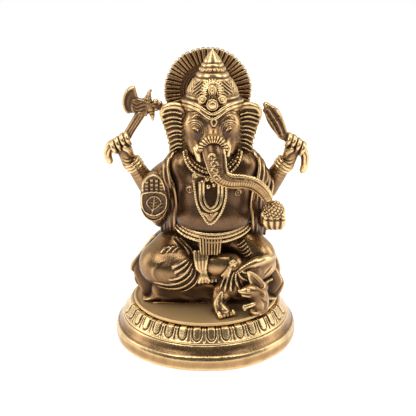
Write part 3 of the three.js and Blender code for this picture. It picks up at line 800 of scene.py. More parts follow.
def sculpt_ear(side):
    name = "right_ear" if side < 0 else "left_ear"
    lo, hi = low(name), high(name)
    clay = Clay(lo - (3, 3, 2.5), hi + (3, 3, 2.5), FINE)
    middle = HEAD_X - 0.6
    x = lambda out: middle + side * out
    top, y = hi[2], mid(name)[1]
    z = lambda down: top - down
    corners = [(12.4, 3.0), (15.4, 0.4), (19.4, 0.0), (23.2, 0.9), (25.2, 3.8), (24.7, 8.0), (23.2, 12.6),
               (21.6, 17.6), (20.8, 21.8), (20.4, 25.2), (16.6, 25.8), (12.4, 25.0), (12.0, 14)]
    clay.add(slab(closed_outline([(x(a), z(b)) for a, b in corners]), y, 2.0, 0.8, 0.4))
    # The rolled rim over the top, and the smooth roll down the inner side.
    rim = [(12.6, 6.4, 1.5), (13.4, 3.4, 1.8), (15.8, 1.5, 1.9), (19.6, 1.2, 1.9), (22.8, 2.2, 1.6),
           (24.2, 4.8, 1.2), (24.0, 7.6, 0.8)]
    clay.add(rod([(x(a), y - 1.0, z(b), r) for a, b, r in rim], count=50), 0.5)
    inner = [(13.4, 5, 1.4), (13.6, 11, 1.4), (13.6, 17, 1.4), (13.4, 24.6, 1.5)]
    clay.add(rod([(x(a), y - 1.0, z(b), r) for a, b, r in inner], count=30), 0.5)
    # Curved ridges across the hollow of the ear. They fall more towards the outer edge the lower they lie.
    for k in range(9):
        down = 5.2 + 2.15 * k + 0.25 * math.sin(2.3 * k + side)
        span = np.interp(down, [4, 8, 14, 20, 25], [23.6, 24.0, 22.2, 20.8, 20.2])
        fall = 0.6 + 0.3 * k
        path = []
        for t in (0, 0.25, 0.5, 0.75, 1.0):
            lower = down + fall * t**1.5 - (1.1 - 0.08 * k) * math.sin(math.pi * t)
            path.append((x(14.6 + (span - 14.6) * t), z(lower)))
        clay.line(path, 0.95 + 0.1 * math.sin(1.9 * k), 1.05, y_to=y)
        clay.line([(px, pz - 1.1) for px, pz in path], 0.5, -0.25, y_to=y)
    piece(name, clay, "brass_patina")


# ---- crown and halo ----
CROWN_WIDTHS = (  # (below the tip, radius)
    (0.0, 0.3), (2.6, 2.3), (5.2, 4.2), (7.9, 5.7), (10.5, 7.0), (13.4, 8.8), (16.0, 10.1),
    (19.3, 11.9), (24.3, 13.8), (26.9, 14.7), (29.0, 14.9),
)


def sculpt_crown():
    clay = block("crown", FINE, 2.5)
    centre = mid("crown")[:2]
    tip = CROWN_TOP + 0.2
    side = [(radius, tip - down) for down, radius in CROWN_WIDTHS]
    clay.add(turned([(-2, tip - 29), (-2, tip)] + side, centre, 0.9))
    # Rings and rolls, each as (below the tip, half-height, how far it stands out).
    rings = ((6.3, 0.45, -0.30), (7.3, 0.6, 0.10), (8.2, 0.4, -0.26), (10.6, 0.4, -0.30),
             (11.9, 0.8, 0.10), (13.2, 0.45, -0.40), (21.3, 0.5, -0.4), (22.4, 0.6, 0.22),
             (23.6, 0.45, -0.35), (24.9, 0.8, 0.25))
    for down, half, stand in rings:
        clay.emboss(lambda x, y, z: stand * hump(np.abs(z - (tip - down)) / half) + 0 * x + 0 * y,
                    clay.start, (BEYOND, BEYOND, tip - down + 1.2))
    ring_of_beads(clay, centre, tip - 9.4, 6.2, 22, 0.55)
    ring_of_beads(clay, centre, tip - 21.3, 12.6, 60, 0.4)

    # Slanting hatches in panels round the side.
    def hatch(x, y, z):
        turn = np.arctan2(x - centre[0], centre[1] - y)
        panel = np.abs((turn / (2 * np.pi) * 3 + 0.5) % 1 - 0.5)
        slant = np.clip(1.6 * np.sin(3.0 * (z - tip) + 64.0 * panel), -1, 1)
        inside = (z < tip - 14.6) * (z > tip - 20.4) * (panel > 0.20) * (panel < 0.47)
        return 0.42 * slant * inside

    clay.emboss(hatch, (centre[0] - 16, centre[1] - 15, tip - 21),
                (centre[0] + 16, centre[1] + 15, tip - 14))
    piece("crown", clay, "brass_polished")


def ring_of_beads(clay, centre, z, radius, count, size):
    for k in range(count):
        angle = 2 * math.pi * k / count
        clay.add(ball((centre[0] + radius * math.cos(angle), centre[1] + 0.9 * radius * math.sin(angle),
                       z), size), 0.1)


def sculpt_crown_band():
    """The two cords that dip in the middle of the forehead."""
    clay = block("crown_band", FINE, 5)
    centre = mid("crown_band")
    reach = 14.6
    for lift, size, dip in ((-1.0, 0.9, 4.0), (0.9, 0.85, 3.4)):
        stops = []
        for turn in np.linspace(-math.pi, math.pi, 61):
            face = max(0.0, math.cos(turn)) ** 2
            fall = dip * math.exp(-((math.sin(turn) * 15 / 5.0) ** 2)) if math.cos(turn) > 0 else 0.0
            ahead = reach * 0.92 + 1.4 * face
            height = centre[2] + 3.2 + lift - fall + 0.9 * math.sin(turn) ** 2 * face * 4
            stops.append((centre[0] + reach * math.sin(turn), centre[1] - ahead * math.cos(turn),
                          height, size))
        clay.add(rod(stops, count=121), 0.2)
    clay.add(turned([(11, centre[2] - 2), (14.2, centre[2] - 2), (14.4, centre[2] + 4.5),
                     (11, centre[2] + 4.5)], centre[:2], 0.92))
    piece("crown_band", clay, "brass_polished")


def sculpt_crest():
    """The jewelled spray on the front of the crown."""
    clay = block("crown_crest", FINE, 4.5)
    lo = low("crown_crest")
    x, y = HEAD_X + 0.1, lo[1] + 1.0
    boss = (x, y - 0.2, CROWN_LOW + 4.4)
    clay.add(ball(boss, (2.9, 1.8, 3.0)))
    clay.line(circle(boss[0], boss[2], 2.2), 0.5, -0.5, y_to=y + 1)
    for side in (-1, 1):
        bud = (x + side * 4.8, y + 1.4, CROWN_LOW + 6.6)
        clay.add(ball(bud, (2.3, 1.4, 2.3)), 0.2)
        clay.line(spiral(bud[0], bud[2], 1.5, side), 0.42, -0.45, y_to=y + 2)
    drop = (x, CROWN_LOW + 10.4)
    clay.add(ball((drop[0], crown_front(*drop) - 0.7, drop[1]), (2.1, 1.6, 3.0)), 0.05)
    clay.line(circle(drop[0], drop[1] - 0.2, 1.25, 1.5), 0.42, -0.5, y_to=y + 4)
    clay.stud([drop], 0.6, 0.35, y_to=y + 4)
    # Low feathers that fan out round the drop, like the ribs of a shell.
    for t in np.linspace(-1.9, 1.9, 17):
        line = []
        for reach in (3.0, 4.6, 6.2):
            root = (drop[0] + 0.92 * reach * math.sin(t), drop[1] - 0.8 + reach * math.cos(t))
            line.append((root[0], crown_front(*root) - 0.4, root[1], 0.52 if reach < 6 else 0.34))
        clay.add(rod(line), 0.1)
    piece("crown_crest", clay, "brass_polished")


def crown_front(x, z):
    """The y of the crown's front at x, z."""
    centre = mid("crown")[:2]
    down, wide = zip(*CROWN_WIDTHS)
    radius = np.interp(CROWN_TOP - z, down, wide)
    return centre[1] - 0.9 * math.sqrt(max(0.0, radius**2 - (x - centre[0]) ** 2))


def circle(x, z, radius, stretch=1.0, count=13):
    return [(x + radius * math.cos(t), z + stretch * radius * math.sin(t))
            for t in np.linspace(0, 2 * math.pi, count)]


RIBS = 52


def sculpt_halo():
    """The disc behind the crown: a fluted rim with a small scalloped edge and a beaded ring inside."""
    lo, hi = low("halo"), high("halo")
    centre = (lo + hi) / 2
    reach = (hi[0] - lo[0]) / 2 - 0.3
    clay = Clay(lo - 2.5, hi + 2.5, BAND)
    edge = []
    for a in np.linspace(0, 2 * math.pi, 8 * RIBS, endpoint=False):
        wander = 0.3 * math.sin(5 * a + 0.7) * math.sin(11 * a)
        r = reach - 0.5 + 0.45 * abs(math.cos(RIBS * a / 2)) + wander
        edge.append((centre[0] + r * math.cos(a), centre[2] + r * math.sin(a)))
    clay.add(slab(edge, centre[1], 2.0, 0.5))

    def fluting(x, y, z):
        out = np.hypot(x - centre[0], z - centre[2])
        turn = np.arctan2(z - centre[2], x - centre[0])
        wander = turn + 0.018 * np.sin(7 * turn + 0.1 * out) + 0.01 * np.sin(17 * turn)
        rib = np.clip(np.abs(np.cos(RIBS * wander / 2)) * 2.2 - 0.35, 0, 1) ** 0.7
        in_rim = np.clip((out - reach * 0.62) / 0.5, 0, 1) * np.clip((reach + 0.6 - out) / 0.8, 0, 1)
        bead = 0.6 * hump(np.abs(out - reach * 0.56) / 1.0) * np.abs(np.sin(34 * turn))
        cord = 0.5 * (hump(np.abs(out - reach * 0.61) / 0.5) + hump(np.abs(out - reach * 0.50) / 0.5))
        leaf = 0.4 * np.abs(np.sin(12 * turn)) * hump(np.abs(out - reach * 0.40) / 2.4)
        return (1.4 * rib - 0.75) * in_rim + bead + cord + leaf + 0 * y

    clay.emboss(fluting)
    piece("halo", clay, "brass_patina")


# ---- legs and the cloth on them ----
def sculpt_right_thigh():
    """The folded leg across the front, with pleats that sweep down and round it."""
    clay = block("right_thigh", MEDIUM, 4)
    z = SEAT
    clay.add(rod([(BODY - 8, 2, z + 33, 10.0), (-16, -4, z + 27, 10.6), (-22.6, -7.5, z + 21.0, 10.8)]))
    clay.add(ball((-14.6, -9.8, z + 19.2), (18.8, 12.8, 12.1), (0, 5, 0)), 4)
    pleats = (
        [(-7.8, 28.2), (-12.2, 25.2), (-16.8, 22.6)],
        [(-6.9, 27.8), (-10.7, 23.2), (-15.8, 19.6)],
        [(-6.1, 27.4), (-8.9, 21.0), (-13.6, 17.0), (-18.6, 16.0)],
        [(-5.3, 27.0), (-7.5, 19.2), (-12.6, 14.8), (-18.9, 13.3), (-26.5, 14.4)],
        [(-4.1, 26.6), (-5.5, 17.8), (-10.3, 12.6), (-16.9, 10.8), (-25.6, 12.0)],
        [(-3.1, 26.2), (-3.5, 16.8), (-7.8, 11.2), (-14.9, 8.7), (-24.1, 9.9)],
    )
    for pleat in pleats:
        clay.fold(above_seat(pleat), (1.1, 0.9), (0.9, -0.8), 1.0, -1.0, y_to=0, taper=True, seen_at=-20)
    # The bunched edge of the cloth on top of the thigh, and the folds that fall from the belt.
    for bunch in ([(-22.6, 27.6), (-20.4, 30.2), (-17.8, 31.4)],
                  [(-19.4, 28.0), (-17.6, 30.4), (-15.2, 31.6)],
                  [(-16.2, 28.2), (-14.8, 30.2), (-12.8, 31.2)]):
        clay.fold(above_seat(bunch), (1.2, 0.7), (0.8, -0.4), 1.3, -0.4, y_from=-18, taper=True,
                  seen_at=-12)
    for fold in ([(-15.2, 38.4), (-10.2, 32.9), (-7.7, 28.8)],
                 [(-13.4, 38.4), (-7.7, 32.2), (-5.2, 28.4)]):
        clay.fold(above_seat(fold), (1.0, 0.8), (0.8, -0.7), -0.9, -0.9, taper=True, seen_at=-16)
    piece("right_thigh", clay, "brass_body")


def sculpt_left_thigh():
    clay = block("left_thigh", MEDIUM, 4)
    z = SEAT
    clay.add(rod([(BODY + 7.5, 2, z + 33.5, 10.0), (17, -3, z + 31, 9.8), (26.4, -7.5, z + 25.4, 9.2),
                  (27.6, -9, z + 23.0, 8.6)]))
    # Short creases at the groin.
    for k in range(5):
        start = (16.0 + 0.9 * k, 30.4 - 1.7 * k)
        crease = above_seat([start, (start[0] + 2.1, start[1] + 1.3), (start[0] + 3.9, start[1] + 3.1)])
        clay.fold(crease, (0.85, 0.8), (0.6, -0.6), 0.5, -0.85, y_to=6, taper=True, seen_at=-8)
    piece("left_thigh", clay, "brass_body")


def sculpt_right_shin():
    """The shin that crosses in front, and the right foot tucked under the left one."""
    clay = block("right_shin", MEDIUM, 4)
    z = SEAT
    clay.add(rod([(-1.6, -15.4, z + 23.0, 5.8), (6, -16.8, z + 22.8, 6.0), (14, -17.0, z + 22.8, 5.8)]))
    clay.add(rod([(0.5, -17.6, z + 26.2, 2.4), (6, -18.2, z + 26.4, 2.6), (12.5, -18.0, z + 26.2, 2.6)]),
             3.0)
    clay.add(rod([(10, -15.5, z + 18.5, 3.8), (4.5, -18.2, z + 16.8, 2.8), (0.5, -19.4, z + 16.4, 2.2)]),
             1.6)
    for k in range(4):
        clay.add(ball((1.6 + 2.0 * k, -21.0 + 0.3 * k, z + 15.7 + 0.25 * k), (1.1, 1.4, 1.15)), 0.25)
    piece("right_shin", clay, "brass_body")


def sculpt_left_shin():
    """The calf in front of the left knee, with the bright fold that runs from the knot to the knee."""
    clay = block("left_shin", MEDIUM, 4)
    z = SEAT
    clay.add(rod([(28.6, -9.5, z + 20.6, 7.8), (23, -13, z + 19.0, 8.0), (16.6, -16.5, z + 16.2, 7.2),
                  (11.5, -19.5, z + 12.5, 6.0), (8.3, -21.6, z + 8.9, 4.6)]))
    fold = [(16.4, -22.8, z + 21.6, 1.4), (21.0, -20.8, z + 23.8, 2.1), (26.0, -18.8, z + 25.4, 2.7),
            (30.6, -15.8, z + 25.9, 2.4), (34.2, -11.2, z + 25.7, 1.5)]
    clay.add(rod(fold), 2.4)
    # The crease under the fold, and the one at the back of the knee.
    clay.line(above_seat([(17.4, 20.6), (22.4, 21.6), (27.0, 23.6)]), 0.8, -0.7, y_to=-8, taper=True)
    clay.line(above_seat([(34.2, 21.6), (31.0, 18.4), (27.4, 15.4)]), 0.9, -0.5, y_to=0, taper=True)
    piece("left_shin", clay, "brass_body")


def sculpt_left_pleats():
    """Cloth gathered from the small round knot at the crossed shins, and fanned over the left one."""
    clay = block("left_pleats", MEDIUM, 5)
    z = SEAT
    clay.add(rod([(22.6, -14.8, z + 18.4, 8.0), (16.4, -17.6, z + 17.0, 7.9),
                  (12.6, -19.6, z + 13.4, 6.8)]))
    clay.cut(rod([(15.5, -24.0, z + 2.4, 5.8), (21.4, -20.0, z + 5.4, 5.6)]), 1.0)
    pleats = (
        [(12.0, 23.5), (9.0, 16.9), (6.9, 11.0)],
        [(13.0, 22.4), (10.7, 15.8), (9.5, 9.4)],
        [(14.0, 21.9), (13.0, 16.4), (13.0, 10.6)],
        [(15.0, 21.9), (15.2, 17.5), (17.0, 13.1), (19.0, 11.4)],
        [(15.8, 22.2), (17.4, 19.2), (20.6, 16.4)],
        [(16.5, 22.7), (19.1, 21.4), (22.4, 20.4)],
    )
    for pleat in pleats:
        clay.fold(above_seat(pleat), (1.2, 1.2), (0.8, -1.0), 1.25, 0.5, y_to=-6, taper=True, seen_at=-22)
    # The knot, and the short strands that fall from it beside the pleats.
    knot = (13.9, -24.6, z + 27.4)
    clay.add(rod([(knot[0], -21.0, knot[2], 2.2), knot + (1.6,)]), 0.3)
    for k in range(5):
        angle = math.radians(90 + 72 * k)
        clay.add(ball((knot[0] + 1.3 * math.cos(angle), knot[1] - 0.5, knot[2] + 1.3 * math.sin(angle)),
                      0.95), 0.15)
    for k in range(3):
        clay.add(rod([(knot[0] - 0.6 - 0.3 * k, knot[1] + 0.6, knot[2] - 1.6, 0.75),
                      (knot[0] - 1.8 - 0.9 * k, -24.4 + 0.3 * k, knot[2] - 5.2, 0.8),
                      (knot[0] - 3.0 - 1.2 * k, -24.2 + 0.4 * k, knot[2] - 9.0 + 0.8 * k, 0.7)]), 0.35)
    piece("left_pleats", clay, "brass_patina")


def sculpt_right_pleats():
    """The bunch that hangs at the middle and ends in a flared tassel."""
    clay = block("right_pleats", FINE, 4)
    z = SEAT
    for k in range(4):
        t = k / 3
        clay.add(rod([(-5.0 + 6.0 * t, -21.0, z + 32.0, 0.9), (-4.7 + 5.2 * t, -22.6, z + 28.0, 0.95),
                      (-3.9 + 4.0 * t, -22.9, z + 23.6, 0.85), (-1.9 + 2.2 * t, -22.6, z + 21.4, 0.7),
                      (-2.3 + 3.4 * t, -23.0, z + 18.6, 0.85),
                      (-3.0 + 5.0 * t, -22.6, z + 16.0 + 0.8 * t, 1.0)]), 0.2)
    clay.add(ball((-2.2, -20.6, z + 26.4), (2.8, 1.9, 5.6)), 0.5)
    clay.add(ball((-0.4, -20.8, z + 18.4), (1.9, 1.6, 3.2)), 0.5)
    clay.add(rod([(-2.6, -22.9, z + 21.8, 0.6), (0.6, -22.9, z + 21.8, 0.6)]), 0.2)
    piece("right_pleats", clay, "brass_patina")


def sculpt_sash():
    """The pleated block of cloth that hangs from the belt."""
    clay = block("sash", FINE, 4)
    lo, hi = low("sash") + (0, 0, 0.6), high("sash") - (0, 0, 1.6)
    middle = (lo[0] + hi[0]) / 2
    outline = closed_outline([(lo[0] + 0.4, hi[2]), (middle, hi[2] + 0.6), (hi[0] - 0.4, hi[2]),
                              (hi[0] - 0.4, lo[2] + 6), (hi[0] - 1.2, lo[2]), (middle, lo[2] - 0.5),
                              (lo[0] + 0.6, lo[2])], 4)
    clay.add(slab(outline, lo[1] + 3.2, 3.6, 1.2, 0.4))

    # Upright pleats, deeper at the top where the belt bunches them.
    def pleats(x, y, z):
        fall = np.clip((hi[2] - z) / (hi[2] - lo[2]), 0, 1)
        rib = np.abs(np.sin(math.pi * (x - middle) / (1.5 - 0.15 * fall)))
        return (1.3 * rib - 0.8) * (1 - 0.45 * fall) - 0.7 * fall + 0 * y

    clay.emboss(pleats, (lo[0] - 2, lo[1] - 3, lo[2] - 2), (hi[0] + 2, lo[1] + 4, hi[2] + 2))
    piece("sash", clay, "brass_patina")


def sculpt_left_foot():
    clay = block("left_foot", FINE, 3.5)
    z = SEAT
    clay.add(rod([(8.0, -20.8, z + 10.6, 4.3), (7.3, -23.2, z + 7.4, 3.7), (7.4, -25.6, z + 4.6, 3.5),
                  (9.6, -28.2, z + 2.9, 2.9)]))
    clay.add(ball((5.6, -21.0, z + 3.2), (3.0, 4.2, 3.2)), 2)
    clay.add(rod([(8.4, -25.8, z + 11.4, 0.9), (6.6, -26.6, z + 6.6, 1.4), (6.4, -29.2, z + 2.6, 1.2)]),
             1.8)
    for k in range(5):
        size = 1.35 if k == 0 else 1.12 - 0.07 * k
        root = (7.0 + 1.75 * k, -29.6 + 0.55 * k, z + 2.4)
        clay.add(rod([root + (size,), (root[0] + 0.7, root[1] - 1.9 + 0.2 * k, z + 1.2, size)]), 0.25)
        clay.stud([(root[0] + 0.7, z + 2.0)], 0.5, 0.25, y_to=-30)
    clay.add(rod([(4.9, -22.6, z + 10.0, 0.75), (8.0, -26.0, z + 9.4, 0.85),
                  (11.6, -23.4, z + 10.2, 0.75)]), 0.2)
    piece("left_foot", clay, "brass_body")


def sculpt_scarf_end(side):
    """The shawl's end where it falls over the backing: a flat fold with a bevelled edge and a point."""
    name = "right_scarf_end" if side < 0 else "left_scarf_end"
    clay = Clay(low(name) - 4, high(name) + 4, MEDIUM)
    if side < 0:
        outline = [(-27.4, 30.0), (-32.4, 26.0), (-36.8, 21.0), (-39.2, 16.6), (-37.4, 13.4),
                   (-36.6, 8.6), (-33.6, 4.4), (-31.6, -0.4), (-27.0, -0.4), (-26.0, 12.0), (-26.0, 24.0)]
        fold = [(-30.4, 24.0), (-34.6, 15.6), (-32.6, 8.0), (-29.6, 1.4)]
    else:
        outline = [(26.4, 6.4), (28.0, 16.0), (33.0, 16.6), (37.2, 15.4), (40.9, 9.0), (40.6, 4.6),
                   (36.4, -0.8), (27.6, -0.8)]
        fold = [(34.6, 15.6), (37.6, 8.8), (34.8, 3.4), (31.4, 0.0)]
    y = mid(name)[1]
    clay.add(slab(closed_outline(above_seat(outline), 4), y, 3.0, 0.8, 0.5))
    # Two flat facets meet at the fold.
    crease = above_seat(fold)
    clay.line(crease, 5.4, 0.55, y_to=y)
    clay.line(shifted(crease, side * 3.0, 0.4), 0.8, -0.5, y_to=y, taper=True)
    piece(name, clay, "brass_body")


# ---- arms ----
def sculpt_rear_arm(side):
    name = "right" if side < 0 else "left"
    middle = (mid("right_rear_hand")[0] + mid("left_rear_hand")[0]) / 2
    x = lambda out: middle + side * out
    elbow, wrist = (x(30.0), 4.6, SEAT + 57), (x(38.6), 2.4, SEAT + 71.4)
    upper = block(f"{name}_rear_upper_arm", MEDIUM, 3.5)
    upper.add(rod([(x(14.5), 4, SHOULDER - 1.5, 6.8), (x(23), 4.6, SHOULDER - 7.0, 6.8), elbow + (5.6,)]))
    # Wrinkles of the sleeve at the bend.
    for k in range(4):
        start = (x(25.5 + 1.9 * k), SEAT + 66.0 - 0.6 * k)
        upper.line([start, (start[0] + side * 1.0, start[1] - 4.0),
                    (start[0] + side * 1.2, start[1] - 8.0)], 0.8, 0.5, y_to=4, taper=True)
    piece(f"{name}_rear_upper_arm", upper, "brass_body")
    fore = block(f"{name}_rear_forearm", MEDIUM, 3.5)
    along = np.subtract(wrist, elbow) / np.linalg.norm(np.subtract(wrist, elbow))
    fore.add(rod([elbow + (5.5,), (x(34.0), 3.6, SEAT + 63.6, 4.9), wrist + (3.9,)]))
    for step in (9.0, 10.9, 12.8):
        fore.add(ring_round(np.array(elbow) + along * step, along, 4.35 - 0.05 * step, 0.6), 0.7)
    piece(f"{name}_rear_forearm", fore, "brass_body")
    # Three rings at the wrist.
    rings = block(f"{name}_bangle", FINE, 3)
    for step, size in ((-2.6, 0.75), (-0.9, 0.85), (0.9, 0.8)):
        rings.add(ring_round(np.array(wrist) + along * step, along, 4.1 - 0.06 * step, size))
    piece(f"{name}_bangle", rings, "brass_polished")


def ring_round(centre, along, radius, size, beaded=False, count=26):
    along = np.asarray(along, float) / np.linalg.norm(along)
    one = np.cross(along, (0, 1, 0))
    one /= np.linalg.norm(one)
    two = np.cross(along, one)
    stops = [centre + radius * (math.cos(a) * one + math.sin(a) * two)
             for a in np.linspace(0, 2 * math.pi, count + 1)]
    cord = rod([tuple(s) + (size * (0.5 if beaded else 1),) for s in stops], count=count + 1)
    return joined(*[ball(stop, size) for stop in stops[:-1]], cord) if beaded else cord


def sculpt_rear_hand(side):
    """A fist closed round a stem, with the fingers lapped over the front."""
    name = ("right" if side < 0 else "left") + "_rear_hand"
    lo, hi = low(name), high(name)
    clay = block(name, FINE, 4)
    outer = lo[0] if side < 0 else hi[0]
    x = lambda inward: outer - side * inward
    top = hi[2]
    clay.add(rod([(x(8.2), 2.4, top - 15.8, 3.7), (x(6.8), 1.4, top - 10.4, 3.9),
                  (x(5.2), 0.9, top - 6.0, 4.1)]))
    clay.add(ball((x(3.2), 0.6, top - 5.6), (3.8, 3.2, 3.6)), 1.0)
    # Four fingers side by side, each bent over the stem in two joints.
    for k in range(4):
        fx, fz = x(0.4 + 2.35 * k), top - 5.4 + 1.75 * k - (0.7 if k == 3 else 0)
        clay.add(rod([(fx, 1.4, fz + 1.4, 1.35), (fx + side * 0.2, -2.0, fz + 1.5, 1.4),
                      (fx - side * 0.5, -3.6, fz - 0.7, 1.3), (fx - side * 1.6, -2.6, fz - 3.0, 1.15)]),
                 0.2)
    # The thumb crosses under them.
    clay.add(rod([(x(9.4), 0.2, top - 10.6, 1.9), (x(8.8), -2.6, top - 7.6, 1.6),
                  (x(6.6), -3.9, top - 5.8, 1.35)]), 0.3)
    for k in range(3):
        clay.line([(x(10.6), top - 11.8 - 1.9 * k), (x(7.4), top - 12.4 - 1.9 * k),
                   (x(5.0), top - 11.6 - 1.9 * k)], 0.55, -0.35, y_to=0, taper=True)
    piece(name, clay, "brass_body")


def sculpt_front_arm(side):
    name = "right" if side < 0 else "left"
    x = lambda out: BODY + side * out
    upper = block(f"{name}_front_upper_arm", MEDIUM, 3)
    elbow = (x(25.6), 1.4, SEAT + 41.6)
    shoulder = (x(17), -0.5, SHOULDER - 1)
    upper.add(rod([shoulder + (6.4,), (x(23.4), 0.4, SHOULDER - 16, 5.8), elbow + (4.7,)]))
    along = np.subtract(elbow, shoulder)
    upper.add(ring_round(np.array((x(22.8), 0, SHOULDER - 13.6)), along, 6.0, 0.8), 0.2)
    upper.add(ring_round(np.array((x(22.3), 0, SHOULDER - 12.0)), along, 6.1, 0.7, beaded=True), 0.2)
    piece(f"{name}_front_upper_arm", upper, "brass_body")
    fore = block(f"{name}_front_forearm", MEDIUM, 3)
    if side < 0:
        wrist = (mid("right_palm")[0] + 0.6, -13.2, SEAT + 50.6)
    else:
        wrist = (mid("left_front_hand")[0] - 0.4, -14.4, SEAT + 47.0)
    fore.add(rod([elbow + (4.7,), tuple((np.array(elbow) + wrist) / 2) + (4.5,), wrist + (4.0,)]))
    way = np.subtract(wrist, elbow)
    for step in (0.78, 0.88, 0.98):
        fore.add(ring_round(np.array(elbow) + way * step, way, 4.3, 0.75), 0.2)
    piece(f"{name}_front_forearm", fore, "brass_body")


def sculpt_palm():
    """The raised open hand, cast as one shield-like form with a leaf in the palm."""
    clay = block("right_palm", FINE, 3.5)
    y = mid("right_palm")[1]
    shield = [(-25.0, 73.6), (-28.4, 72.4), (-30.6, 68.6), (-31.2, 65.0), (-32.0, 62.0), (-32.0, 56.0),
              (-30.8, 51.8), (-28.0, 48.8), (-25.2, 47.8), (-21.6, 49.8), (-19.2, 53.4), (-18.0, 57.4),
              (-18.2, 61.8), (-19.4, 65.4), (-20.0, 68.6), (-21.4, 71.6)]
    clay.add(slab(closed_outline(above_seat(shield), 5), y, 4.2, 1.5, 0.5))
    clay.add(rod([(-25.0, y + 2.4, SEAT + 57, 4.8), (-24.2, y + 3.8, SEAT + 52, 4.2)]), 1.5)
    # A thin bright border over the fingers, which are sunk between it and the palm.
    clay.line(above_seat([(-30.6, 64.6), (-30.4, 68.2), (-28.2, 71.6), (-25.0, 72.8), (-22.0, 71.2),
                          (-20.4, 68.0), (-19.8, 65.0)]), 0.7, 0.8, y_to=y)
    fingers = (-28.6, -26.2, -23.8, -21.6)
    for fx, tip in zip(fingers, (69.8, 71.2, 70.8, 69.2)):
        for k in range(3):
            up = 65.0 + (tip - 65.0) * (k + 0.35) / 2.7
            clay.add(ball((fx, y - 2.1, SEAT + up), (1.05, 0.9, (tip - 65.0) / 5.6)), 0.1)
    for fx in (-27.4, -25.0, -22.7):
        clay.line(above_seat([(fx, 64.4), (fx, 70.6)]), 0.4, -0.6, y_to=y)
    # The raised rim of the palm.
    rim = closed_outline(above_seat([(-31.0, 62.4), (-29.0, 63.8), (-25.4, 64.2), (-22.0, 63.9),
                                     (-19.4, 62.0), (-19.2, 57.0), (-21.0, 54.0), (-25.0, 52.0),
                                     (-29.2, 53.6), (-31.0, 57.0)]), 4)
    rim = [tuple(p) for p in rim] + [tuple(rim[0])]
    clay.line(rim, 0.75, 1.1, y_to=y)
    # A leaf on a stalk inside it, with the thumb's creases beside.
    stalk = above_seat([(-26.4, 52.4), (-25.4, 57.0), (-25.0, 61.6)])
    clay.line(stalk, 0.55, 0.8, y_to=y)
    for way in (-1, 1):
        leaf = above_seat([(-26.0, 54.6), (-25.3 + 3.4 * way, 58.2), (-25.1 + 2.4 * way, 60.9),
                           (-25.0, 62.2)])
        clay.line(leaf, 0.6, 0.75, y_to=y)
        for k in range(3):
            root = (-25.5 + 0.1 * k, 56.6 + 1.6 * k)
            clay.line(above_seat([root, (root[0] + 2.2 * way, root[1] + 1.2)]), 0.45, 0.5, y_to=y,
                      taper=True)
    for k in range(3):
        clay.line(above_seat([(-20.6, 59.4 - 1.9 * k), (-22.4, 58.8 - 1.9 * k)]), 0.4, -0.4, y_to=y)
    clay.line(above_seat([(-31.2, 55.0), (-29.0, 51.2), (-25.0, 49.6), (-21.4, 51.6), (-19.2, 55.2)]),
              0.7, -0.8, y_to=y)
    piece("right_palm", clay, "brass_body")


def sculpt_left_hand():
    """The fist under the sweet: four upright fingers, each with a joint near its top."""
    lo, hi = low("left_front_hand"), high("left_front_hand")
    clay = block("left_front_hand", FINE, 3.5)
    centre = (lo + hi) / 2
    clay.add(ball(centre + (0, 1.4, -0.2), (5.2, 4.2, 4.2)))
    for k in range(4):
        x = lo[0] + 1.6 + 2.75 * k
        y = lo[1] + 1.9 + 0.45 * abs(k - 1.5)
        clay.add(rod([(x * 0.8 + centre[0] * 0.2, y + 0.8, lo[2] + 1.3, 1.35),
                      (x, y - 0.1, centre[2] - 0.6, 1.6), (x, y - 0.1, hi[2] - 2.2, 1.5)]), 0.45)
        clay.add(rod([(x, y - 0.4, hi[2] - 2.0, 1.4), (x, y + 1.6, hi[2] + 0.2, 1.25)]), 0.15)
        clay.line([(x - 1.1, hi[2] - 3.2), (x + 1.1, hi[2] - 3.2)], 0.4, -0.3, y_to=y)
    clay.add(rod([(lo[0] + 0.8, centre[1], centre[2] - 1, 1.6),
                  (lo[0] + 0.4, lo[1] + 3, hi[2] - 0.8, 1.5)]), 0.4)
    piece("left_front_hand", clay, "brass_body")


def sculpt_sweet():
    """The round sweet, pebbled all over like the real one."""
    clay = block("sweet_ball", FINE, 3.5)
    lo, hi = low("sweet_ball"), high("sweet_ball")
    centre = np.array([(lo[0] + hi[0]) / 2, (lo[1] + hi[1]) / 2, hi[2] - 5.6])
    radii = np.array([5.2, 4.8, 5.0])
    clay.add(ball(centre, radii))
    golden = math.pi * (3 - math.sqrt(5))
    pebbles = 130
    for k in range(pebbles):
        up = 1 - 2 * (k + 0.5) / pebbles
        out = math.sqrt(1 - up * up)
        place = centre + radii * (out * math.cos(golden * k), out * math.sin(golden * k), up)
        clay.add(ball(place, 0.62), 0.1)
    piece("sweet_ball", clay, "brass_polished")


